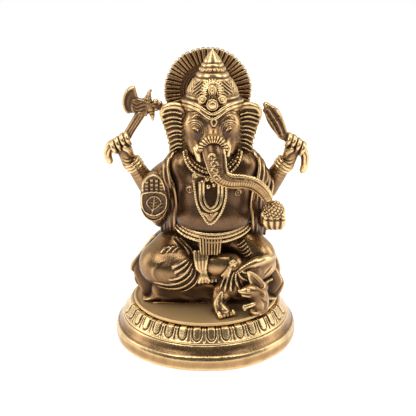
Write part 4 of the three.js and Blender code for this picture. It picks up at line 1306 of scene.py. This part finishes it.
# ---- what the rear hands hold ----
def sculpt_axe():
    y = 0.0
    z = SEAT
    handle = block("axe_handle", FINE, 3)
    stem = [(-39.6, y, z + 85.6, 2.3), (-37.2, y, z + 89.8, 2.3), (-34.4, y, z + 94.2, 2.4),
            (-32.4, y, z + 97.4, 2.5)]
    handle.add(rod(stem))
    for gap in (-0.9, 0.3, 1.5):
        handle.line([(a + 0.85 * gap, c - 0.5 * gap) for a, _, c, _ in stem], 0.45, -0.4)
    piece("axe_handle", handle, "brass_patina")
    blade = block("axe_blade", FINE, 3)
    crescent = above_seat([(-35.0, 112.0), (-38.0, 111.0), (-40.4, 107.6), (-41.2, 103.6), (-40.6, 100.2),
                           (-38.9, 98.0), (-36.2, 98.4), (-34.6, 99.6), (-33.2, 102.2), (-33.2, 105.4),
                           (-33.8, 108.0), (-34.4, 110.4)])
    blade.add(slab(closed_outline(crescent, 5), y, 2.2, 0.6))
    edge = above_seat([(-35.6, 111.0), (-38.2, 109.8), (-40.0, 106.8), (-40.5, 103.4), (-39.8, 100.4),
                       (-38.8, 98.8)])
    blade.line(edge, 0.9, 0.55)
    blade.line([(a + 1.3, b - 0.2) for a, b in edge[1:-1]], 0.5, -0.4, taper=True)
    socket = above_seat([(-36.4, 105.0), (-33.6, 105.8), (-31.0, 105.4), (-29.2, 106.4), (-28.4, 101.0),
                         (-28.8, 97.0), (-31.0, 96.8), (-34.4, 97.4), (-37.2, 100.4)])
    blade.add(slab(closed_outline(socket, 5), y, 3.2, 1.0, 0.4), 0.5)
    for k in range(3):
        blade.line(above_seat([(-36.6 + 0.4 * k, 104.0 - 1.7 * k), (-34.0, 102.4 - 1.7 * k),
                               (-31.4, 103.4 - 1.9 * k), (-29.4, 104.0 - 1.8 * k)]), 0.5, -0.6,
                   taper=True)
    piece("axe_blade", blade, "brass_patina")
    collar = block("axe_collar", FINE, 3)
    spike = [(-26.9, y, z + 110.0, 0.6), (-28.0, y, z + 107.6, 1.3), (-28.2, y, z + 104.0, 2.0),
             (-27.4, y, z + 100.4, 2.2), (-26.4, y, z + 97.2, 1.3), (-26.2, y, z + 94.6, 0.6)]
    collar.add(rod(spike))
    for up in (108.2, 106.6, 105.0, 103.4, 99.0, 97.4):
        collar.line(above_seat([(-30.0, up - 0.4), (-25.4, up + 0.5)]), 0.42, -0.4)
    piece("axe_collar", collar, "brass_patina")
    finial = block("axe_finial", FINE, 3)
    finial.add(rod([(-25.6, y, z + 102.4, 1.7), (-22.0, y, z + 101.6, 1.3)]))
    for dx, up, size in ((-24.6, 104.2, 1.4), (-22.6, 103.4, 1.3), (-24.4, 100.6, 1.4),
                         (-22.4, 100.4, 1.0), (-20.9, 102.2, 0.9)):
        finial.add(ball((dx, y - 0.5, z + up), size), 0.12)
    piece("axe_finial", finial, "brass_patina")
    tail_piece("axe_handle_tail", -1)


def sculpt_bud():
    """The long leaf-shaped bud, with grooves along it and a scroll on its broad side."""
    clay = block("lotus_bud", FINE, 3)
    outline = above_seat([(29.2, 103.2), (31.2, 103.4), (33.6, 101.6), (36.6, 99.8), (38.6, 96.0),
                          (40.4, 90.6), (40.9, 87.2), (39.6, 84.2), (37.4, 85.0), (34.8, 88.2),
                          (32.2, 91.6), (30.4, 95.2), (29.5, 98.8)])
    clay.add(slab(closed_outline(outline, 5), 0.0, 2.6, 0.7, 0.8))
    spine = above_seat([(30.6, 101.6), (33.2, 97.6), (36.4, 92.6), (39.2, 86.4)])
    for right, up, height in ((0, 0, 0.7), (-1.2, -0.9, -0.6), (1.3, 0.9, -0.6), (2.3, 1.9, 0.55),
                              (-2.0, -1.6, 0.5)):
        clay.line(shifted(spine, right, up), 0.55, height, taper=True)
    clay.line(spiral(36.2, SEAT + 95.6, 1.7, 1), 0.45, -0.5)
    for k in range(7):
        t = (k + 0.5) / 7
        px, pz = 30.6 + 8.6 * t, SEAT + 101.6 - 15.2 * t
        clay.line([(px - 2.0, pz - 0.6), (px - 0.5, pz - 0.1)], 0.4, 0.35)
    clay.add(rod([(39.6, 0, SEAT + 87.2, 2.0), (42.2, 0, SEAT + 83.6, 1.9)]), 0.6)
    clay.add(ball((30.2, 0, SEAT + 102.4), (1.5, 1.4, 1.5)), 0.3)
    clay.add(ball((29.8, 0, SEAT + 99.4), (1.1, 1.2, 1.3)), 0.3)
    piece("lotus_bud", clay, "brass_patina")
    tail_piece("bud_stem_tail", 1)


def tail_piece(name, side):
    """The curled end of a stem below the fist, like a blunt claw."""
    lo, hi = low(name), high(name)
    clay = block(name, FINE, 3)
    outer = lo[0] if side < 0 else hi[0]
    x = lambda inward: outer - side * inward
    course = [(x(5.8), 0, hi[2] - 0.8, 2.1), (x(3.6), -0.6, hi[2] - 2.6, 2.5),
              (x(2.1), -0.6, hi[2] - 6.0, 2.2), (x(2.0), -0.2, lo[2] + 4.6, 2.0),
              (x(2.8), 0, lo[2] + 1.9, 1.8)]
    clay.add(rod(course))
    clay.line([(x(5.4), hi[2] - 2.0), (x(3.6), hi[2] - 5.4), (x(3.2), lo[2] + 5)], 0.55, -0.5, y_to=0,
              taper=True)
    clay.line([(x(3.6), hi[2] - 1.6), (x(1.5), hi[2] - 5.4), (x(1.4), lo[2] + 5)], 0.5, -0.4, y_to=0,
              taper=True)
    piece(name, clay, "brass_body")


# ---- mouse ----
def sculpt_mouse():
    z = SEAT
    body = block("mouse_body", FINE, 4)
    body.add(ball((27.2, -23.6, z + 6.0), (5.2, 6.4, 7.8), (8, 0, 0)))
    body.add(rod([(26.6, -24.6, z + 10.6, 4.6), (23.6, -26.4, z + 13.2, 3.9),
                  (20.0, -28.8, z + 14.0, 2.2), (17.4, -30.6, z + 14.6, 1.0)]), 1.6)
    body.add(rod([(22.2, -28.6, z + 11.6, 1.6), (19.0, -30.2, z + 12.4, 0.9)]), 0.4)
    body.add(ball((17.0, -31.0, z + 15.0), 0.8), 0.3)
    body.stud([(21.6, z + 15.0)], 0.75, 0.5, y_to=-24)
    body.line([(18.2, z + 13.3), (20.8, z + 12.6), (23.4, z + 12.8)], 0.42, -0.5, y_to=-22, taper=True)
    # The haunch, the creases of the back, and the tail round the foot.
    body.add(ball((25.6, -26.8, z + 2.4), (3.6, 3.4, 2.6)), 0.8)
    for k in range(3):
        body.line([(28.0 + 1.0 * k, z + 10.4 - k), (29.8 + 0.6 * k, z + 6.6), (29.4 + 0.5 * k, z + 2.8)],
                  0.5, -0.3, y_to=-18,
                  taper=True)
    body.add(rod([(31.0, -20, z + 2.0, 1.1), (31.0, -24.0, z + 1.2, 0.9), (27.6, -28.6, z + 0.9, 0.7)]),
             0.6)
    piece("mouse_body", body, "brass_body")
    ear = block("mouse_ear", FINE, 4)
    leaf = closed_outline(above_seat([(21.4, 23.4), (23.4, 23.0), (25.6, 21.6), (28.2, 18.8),
                                      (29.9, 16.2), (28.8, 14.4), (26.4, 13.6), (24.2, 14.0),
                                      (22.9, 17.0), (21.9, 20.6)]), 5)
    y = -26.0
    ear.add(slab(leaf, y, 1.8, 0.5, 0.2))
    ear.add(rod([(a, y - 0.9, b, 0.5) for a, b in np.vstack([leaf, leaf[:1]])], count=80), 0.25)
    ear.line(above_seat([(22.4, 21.4), (24.8, 18.6), (27.4, 15.6)]), 1.8, -0.6, y_to=y, taper=True)
    piece("mouse_ear", ear, "brass_body")
    paws = block("mouse_paws", FINE, 3)
    paws.add(rod([(26.6, -26.6, z + 7.4, 1.6), (23.2, -29.8, z + 6.9, 1.25),
                  (20.0, -30.6, z + 6.0, 1.1)]))
    paws.add(ball((19.8, -30.8, z + 5.8), (1.2, 1.3, 1.8)), 0.3)
    for k in range(3):
        paws.line([(19.0, z + 4.9 + 0.85 * k), (20.8, z + 5.0 + 0.85 * k)], 0.35, -0.3)
    piece("mouse_paws", paws, "brass_body")


# ---- build every piece ----
for sculpt in (sculpt_plinth, sculpt_lotus_band, sculpt_seat, sculpt_cushion, sculpt_bolster,
               sculpt_torso, sculpt_belt):
    sculpt()
torso_clay = made["torso"][1]
for sculpt in (sculpt_collar, sculpt_garland, sculpt_pendant):
    sculpt(torso_clay)
for sculpt in (
    sculpt_head, sculpt_trunk, sculpt_trunk_cloth, sculpt_crown, sculpt_crown_band, sculpt_crest,
    sculpt_halo, sculpt_right_thigh, sculpt_left_thigh, sculpt_right_shin, sculpt_left_shin,
    sculpt_left_foot, sculpt_left_pleats, sculpt_right_pleats, sculpt_sash, sculpt_palm,
    sculpt_left_hand, sculpt_sweet, sculpt_axe, sculpt_bud, sculpt_mouse,
):
    sculpt()
for side in (-1, 1):
    for sculpt in (sculpt_scarf, sculpt_tusk, sculpt_ear, sculpt_rear_arm, sculpt_rear_hand,
                   sculpt_front_arm, sculpt_scarf_end):
        sculpt(side)


# ---- wear and painted light: 0 where the dark patina stays, 1 where the metal is rubbed bright, with painted light added on upward faces and painted shade and reflection on some pieces ----
PLAIN_WEAR = 0.47
RIDGE_WEAR = 2.6  # for each millimetre of relief
NEAR_WEAR, NEAR_FULL = 0.9, 0.42  # the share of metal close by that neither brightens nor darkens
WIDE_WEAR, WIDE_FULL = 0.8, 0.30  # the same further round
# Painted light: surfaces that face up are made brighter by this much, as if lit from above.
TOP_PAINTED_LIGHT = 0.16  # on surfaces that face up
# How much brighter, or darker, a piece is than its shape alone would make it: partly its own patina and
# polish, partly painted light. The flat seat is made brighter as a painted reflection of the lit room, and
# the torso and the cushion are made darker as painted shade and dark reflection.
PIECE_TONE_AND_SHADE = (
    (0.44, "seat_disc"),
    (0.16, "lotus_band"),
    (0.11, "right_ear"),
    (0.10, "right_tusk"),
    (0.09, "left_ear left_shin"),
    (0.06, "right_shin plinth"),
    (0.04, "left_tusk"),
    (-0.02, "crown"),
    (-0.04, "crown_crest"),
    (-0.06, "head trunk_cloth left_pleats"),
    (-0.06, "right_rear_upper_arm left_rear_upper_arm right_rear_forearm left_rear_forearm"),
    (-0.08, "bolster cushion left_foot bud_stem_tail axe_handle_tail"),
    (-0.10, "right_thigh right_rear_hand left_rear_hand left_front_hand mouse_paws"),
    (-0.12, "garland right_pleats"),
    (-0.14, "trunk right_front_upper_arm sweet_ball"),
    (-0.15, "left_scarf"),
    (-0.16, "left_front_upper_arm"),
    (-0.18, "collar_necklace right_scarf left_front_forearm"),
    (-0.20, "waist_belt right_front_forearm mouse_body mouse_ear"),
    (-0.21, "right_palm"),
    (-0.22, "garland_pendant sash"),
    (-0.24, "lotus_bud"),
    (-0.25, "torso"),
    (-0.26, "left_scarf_end"),
    (-0.28, "right_scarf_end axe_collar axe_finial"),
    (-0.29, "axe_handle"),
    (-0.30, "halo"),
    (-0.32, "axe_blade"),
)
piece_tone_and_shade = {name: offset for offset, names in PIECE_TONE_AND_SHADE for name in names.split()}
MAP_CELL = 0.6  # millimetres: the cells of the map of the whole statue
EDGE_REACH = 0.5  # millimetres: how far round a point its own ridges and grooves are judged


def soften(field, reach, passes=2):
    """A box blur, reach cells to each side, run passes times."""
    wide = 2 * reach + 1
    for axis in [0, 1, 2] * passes:
        spare = [(reach + 1, reach) if k == axis else (0, 0) for k in range(3)]
        total = np.cumsum(np.pad(field, spare, mode="edge"), axis=axis, dtype=np.float64)
        total = np.moveaxis(total, axis, 0)
        field = np.moveaxis((total[wide:] - total[:-wide]) / wide, 0, axis).astype(np.float32)
    return field


def sample(field, start, voxel, points):
    """The field's value at points, mixed between its cells."""
    at = np.clip((points - start) / voxel, 0, np.array(field.shape) - 1.001)
    i = at.astype(int)
    t = at - i
    value = 0
    for dx in (0, 1):
        for dy in (0, 1):
            for dz in (0, 1):
                weight = abs(1 - dx - t[:, 0]) * abs(1 - dy - t[:, 1]) * abs(1 - dz - t[:, 2])
                value = value + weight * field[i[:, 0] + dx, i[:, 1] + dy, i[:, 2] + dz]
    return value


def solid_map(voxel):
    """How full of metal each cell of the whole statue's box is, and the box's low corner."""
    margin = 6
    lowest, highest = np.array(cad_box[0]) / MM - margin, np.array(cad_box[1]) / MM + margin
    axes = [np.arange(lowest[k], highest[k], voxel) for k in range(3)]
    full = np.zeros([len(a) for a in axes], np.float32)
    for _, clay, _ in made.values():
        window, picks = [], []
        for k in range(3):
            inside = np.nonzero((axes[k] >= clay.axes[k][0]) & (axes[k] <= clay.axes[k][-1]))[0]
            window.append(slice(inside[0], inside[-1] + 1))
            picks.append(np.round((axes[k][inside] - clay.start[k]) / clay.voxel).astype(int))
        own = np.clip(0.5 - clay.field[np.ix_(*picks)] / voxel, 0, 1)
        full[tuple(window)] = np.maximum(full[tuple(window)], own)
    return full, lowest


def per_vertex(values, field):
    """One x, y, z for each vertex."""
    found = np.empty(3 * len(values), np.float32)
    values.foreach_get(field, found)
    return found.reshape(-1, 3)


full, map_start = solid_map(MAP_CELL)
near_shelter = soften(full, 2)
wide_shelter = soften(full, 6)
for name, (body, clay, _) in made.items():
    points = per_vertex(body.data.vertices, "co") / MM
    normals = per_vertex(body.data.vertex_normals, "vector")
    # A ridge stands out of its softened surroundings, and a groove lies in them.
    softened = soften(np.clip(clay.field, -1.2, 1.2), max(1, round(EDGE_REACH / clay.voxel)))
    relief = np.clip(sample(softened, clay.start, clay.voxel, points), -0.12, 0.15)
    near = sample(near_shelter, map_start, MAP_CELL, points + 0.5 * normals)
    wide = sample(wide_shelter, map_start, MAP_CELL, points + 2.0 * normals)
    wear_and_light = PLAIN_WEAR + RIDGE_WEAR * relief + NEAR_WEAR * (NEAR_FULL - near)
    # Painted light: upward faces are brightened, and the per-piece offsets add painted shade and painted
    # reflection along with patina.
    wear_and_light = wear_and_light + WIDE_WEAR * (WIDE_FULL - wide) + TOP_PAINTED_LIGHT * normals[:, 2] + piece_tone_and_shade.get(name, 0.0)
    layer = body.data.attributes.new("wear_and_light", "FLOAT", "POINT")
    layer.data.foreach_set("value", np.clip(wear_and_light, 0, 1).astype(np.float32))


# ---- materials ----
# The wear value that picks these colours also carries painted light, painted shade and painted reflection.
TONES = (  # (wear, colour), from dark patina to rubbed metal
    (0.08, (0.085, 0.045, 0.025, 1)),
    (0.34, (0.140, 0.074, 0.037, 1)),
    (0.56, (0.255, 0.143, 0.066, 1)),
    (0.78, (0.49, 0.300, 0.132, 1)),
    (1.0, (0.84, 0.605, 0.30, 1)),
)
FINISHES = {  # slot: (shift towards bright metal, roughness where bright, roughness where dark, grain)
    "brass_body": (0.0, 0.19, 0.33, 0.42),
    "brass_polished": (0.04, 0.20, 0.34, 0.42),
    "brass_patina": (-0.05, 0.23, 0.42, 0.6),
}
SEAT_FINISH = (0.04, 0.55, 0.63, 0.5)
GRAIN_DEPTH = 0.00012  # metres


def node(tree, kind, settings=None, inputs=None):
    made_node = tree.nodes.new(kind)
    for name, value in (settings or {}).items():
        setattr(made_node, name, value)
    for name, value in (inputs or {}).items():
        if isinstance(value, bpy.types.NodeSocket):
            tree.links.new(value, made_node.inputs[name])
        else:
            made_node.inputs[name].default_value = value
    return made_node


def noise(tree, place, scale, detail=4.0, roughness=0.6, distortion=0.0):
    """A noise texture's value."""
    return node(tree, "ShaderNodeTexNoise", None, {
        "Vector": place, "Scale": scale, "Detail": detail, "Roughness": roughness,
        "Distortion": distortion,
    }).outputs["Fac"]


def spread(tree, value, low_in, high_in, low_out, high_out):
    return node(tree, "ShaderNodeMapRange", {"clamp": True}, {
        "Value": value, "From Min": low_in, "From Max": high_in, "To Min": low_out, "To Max": high_out,
    }).outputs[0]


def sums(tree, operation, *values):
    """The values added, or multiplied, one after another."""
    result = values[0]
    for value in values[1:]:
        result = node(tree, "ShaderNodeMath", {"operation": operation}, {0: result, 1: value}).outputs[0]
    return result


def brass(name, shift, rough_bright, rough_dark, grain):
    """Antiqued cast brass. shift moves it towards bright metal or, below 0, towards dark patina."""
    material = bpy.data.materials.new(name)
    material.use_nodes = True
    tree = material.node_tree
    shader = tree.nodes["Principled BSDF"]
    place = node(tree, "ShaderNodeTexCoord").outputs["Object"]
    wear_and_light = node(tree, "ShaderNodeAttribute", {"attribute_name": "wear_and_light"}).outputs["Fac"]
    clouds = noise(tree, place, 95.0, 5.0, 0.62, 0.6)
    specks = noise(tree, place, 900.0, 3.0, 0.7)
    grit = noise(tree, place, 2600.0, 2.0, 0.6)
    # Rubbed metal, patina in the recesses, the painted light and shade carried in the same attribute, and
    # clouds of tarnish over all of them.
    tone = sums(tree, "ADD", wear_and_light, shift, spread(tree, clouds, 0.3, 0.7, -0.06, 0.05),
                spread(tree, specks, 0.3, 0.7, -0.05, 0.05))
    ramp = node(tree, "ShaderNodeValToRGB", None, {"Fac": tone})
    ends = ramp.color_ramp.elements
    ends[0].position, ends[0].color = TONES[0]
    ends[1].position, ends[1].color = TONES[-1]
    for position, colour in TONES[1:-1]:
        ramp.color_ramp.elements.new(position).color = colour
    tree.links.new(ramp.outputs["Color"], shader.inputs["Base Color"])
    tree.links.new(spread(tree, tone, 0.05, 0.45, 0.50, 0.92), shader.inputs["Metallic"])
    gloss = spread(tree, tone, 0.15, 0.85, rough_dark, rough_bright)
    gloss = sums(tree, "ADD", gloss, spread(tree, specks, 0.35, 0.65, -0.04, 0.06))
    tree.links.new(gloss, shader.inputs["Roughness"])
    # Cast grain, fine scratches from polishing, and small pits.
    stretched = node(tree, "ShaderNodeMapping", None, {
        "Vector": place, "Scale": (260, 260, 3200), "Rotation": (0.3, 0.5, 0.2)})
    scratches = noise(tree, stretched.outputs[0], 1.0, 2.0, 0.5)
    pits = node(tree, "ShaderNodeTexVoronoi", {"feature": "F1"}, {
        "Vector": place, "Scale": 640.0, "Randomness": 1.0})
    pit = spread(tree, pits.outputs["Distance"], 0.05, 0.22, -1.0, 0.0)
    height = sums(tree, "ADD", sums(tree, "MULTIPLY", specks, 1.2), sums(tree, "MULTIPLY", grit, 0.5),
                  sums(tree, "MULTIPLY", pit, 0.5), sums(tree, "MULTIPLY", scratches, 0.35))
    bump = node(tree, "ShaderNodeBump", None, {"Strength": grain, "Distance": GRAIN_DEPTH,
                                               "Height": height})
    tree.links.new(bump.outputs["Normal"], shader.inputs["Normal"])
    return material


finishes = {name: brass(name, *settings) for name, settings in FINISHES.items()}
for body, _, slot_name in made.values():
    body.data.materials.append(finishes[slot_name])
# The flat seat is dull: hands don't rub it.
made["seat_disc"][0].data.materials[0] = brass("brass_seat", *SEAT_FINISH)


# ---- floor, light and camera ----
FLOOR_HALF = 8.0
FLOOR_GLOW = 0.45  # keeps the paper white where the dark room in front lights it little
AIM = (0, 0, 0.075)
LAMPS = (  # name, place, size, brightness
    ("overhead", (0.0, 0.10, 0.85), (0.7, 0.5), 1.3),
    ("high_strip", (0.0, -0.24, 0.80), (0.9, 0.11), 4.6),
    ("high_left", (-0.42, -0.42, 0.62), (0.36, 0.36), 3.2),
    ("high_right", (0.46, -0.36, 0.60), (0.30, 0.34), 2.6),
    ("left_side", (-0.75, 0.05, 0.30), (0.35, 0.6), 1.6),
    ("right_side", (0.75, 0.05, 0.30), (0.35, 0.6), 1.6),
)
PAPER, ROOM = 0.72, 0.09  # brightness all round, and in front of the figure
CAMERA_PLACE = (0.0014, -0.531, 0.265)
PITCH = math.radians(20.25)
LENS = 95.2


def white(name, colour, roughness, glow):
    material = bpy.data.materials.new(name)
    material.use_nodes = True
    shader = material.node_tree.nodes["Principled BSDF"]
    shader.inputs["Base Color"].default_value = colour + (1,)
    shader.inputs["Roughness"].default_value = roughness
    shader.inputs["Emission Color"].default_value = (1, 1, 1, 1)
    shader.inputs["Emission Strength"].default_value = glow
    return material


def softbox(name, place, size, brightness):
    lamp = bpy.data.lights.new(name, "AREA")
    lamp.shape = "RECTANGLE"
    lamp.size, lamp.size_y = size
    lamp.energy = brightness * math.pi * size[0] * size[1]
    holder = bpy.data.objects.new(name, lamp)
    holder.location = place
    holder.rotation_euler = (Vector(AIM) - Vector(place)).to_track_quat("-Z", "Y").to_euler()
    bpy.context.scene.collection.objects.link(holder)


corners = [(-FLOOR_HALF, -FLOOR_HALF, 0), (FLOOR_HALF, -FLOOR_HALF, 0)]
corners += [(FLOOR_HALF, FLOOR_HALF, 0), (-FLOOR_HALF, FLOOR_HALF, 0)]
floor_mesh = bpy.data.meshes.new("floor")
floor_mesh.from_pydata(corners, [], [(0, 1, 2, 3)])
floor = bpy.data.objects.new("floor", floor_mesh)
floor_mesh.materials.append(white("floor_white", (0.92, 0.92, 0.92), 0.7, FLOOR_GLOW))
bpy.context.scene.collection.objects.link(floor)

for lamp in LAMPS:
    softbox(*lamp)

world = bpy.data.worlds.new("studio")
bpy.context.scene.world = world
world.use_nodes = True
sky = world.node_tree
direction = node(sky, "ShaderNodeTexCoord").outputs["Generated"]
# The room in front of the figure is dark, and the paper round and above it is white.
front = Vector((0, -1, 0.30)).normalized()
facing = node(sky, "ShaderNodeVectorMath", {"operation": "DOT_PRODUCT"}, {0: direction, 1: front})
background = sky.nodes["Background"]
sky.links.new(spread(sky, facing.outputs["Value"], 0.05, 0.75, PAPER, ROOM),
              background.inputs["Strength"])
background.inputs["Color"].default_value = (1, 1, 1, 1)

eye = bpy.data.cameras.new("camera")
eye.sensor_width = 36
eye.lens = LENS
eye.clip_start = 0.01
camera = bpy.data.objects.new("camera", eye)
camera.location = CAMERA_PLACE
camera.rotation_euler = (math.pi / 2 - PITCH, 0, 0)
bpy.context.scene.collection.objects.link(camera)
bpy.context.scene.camera = camera
bpy.context.scene.view_settings.view_transform = "Standard"
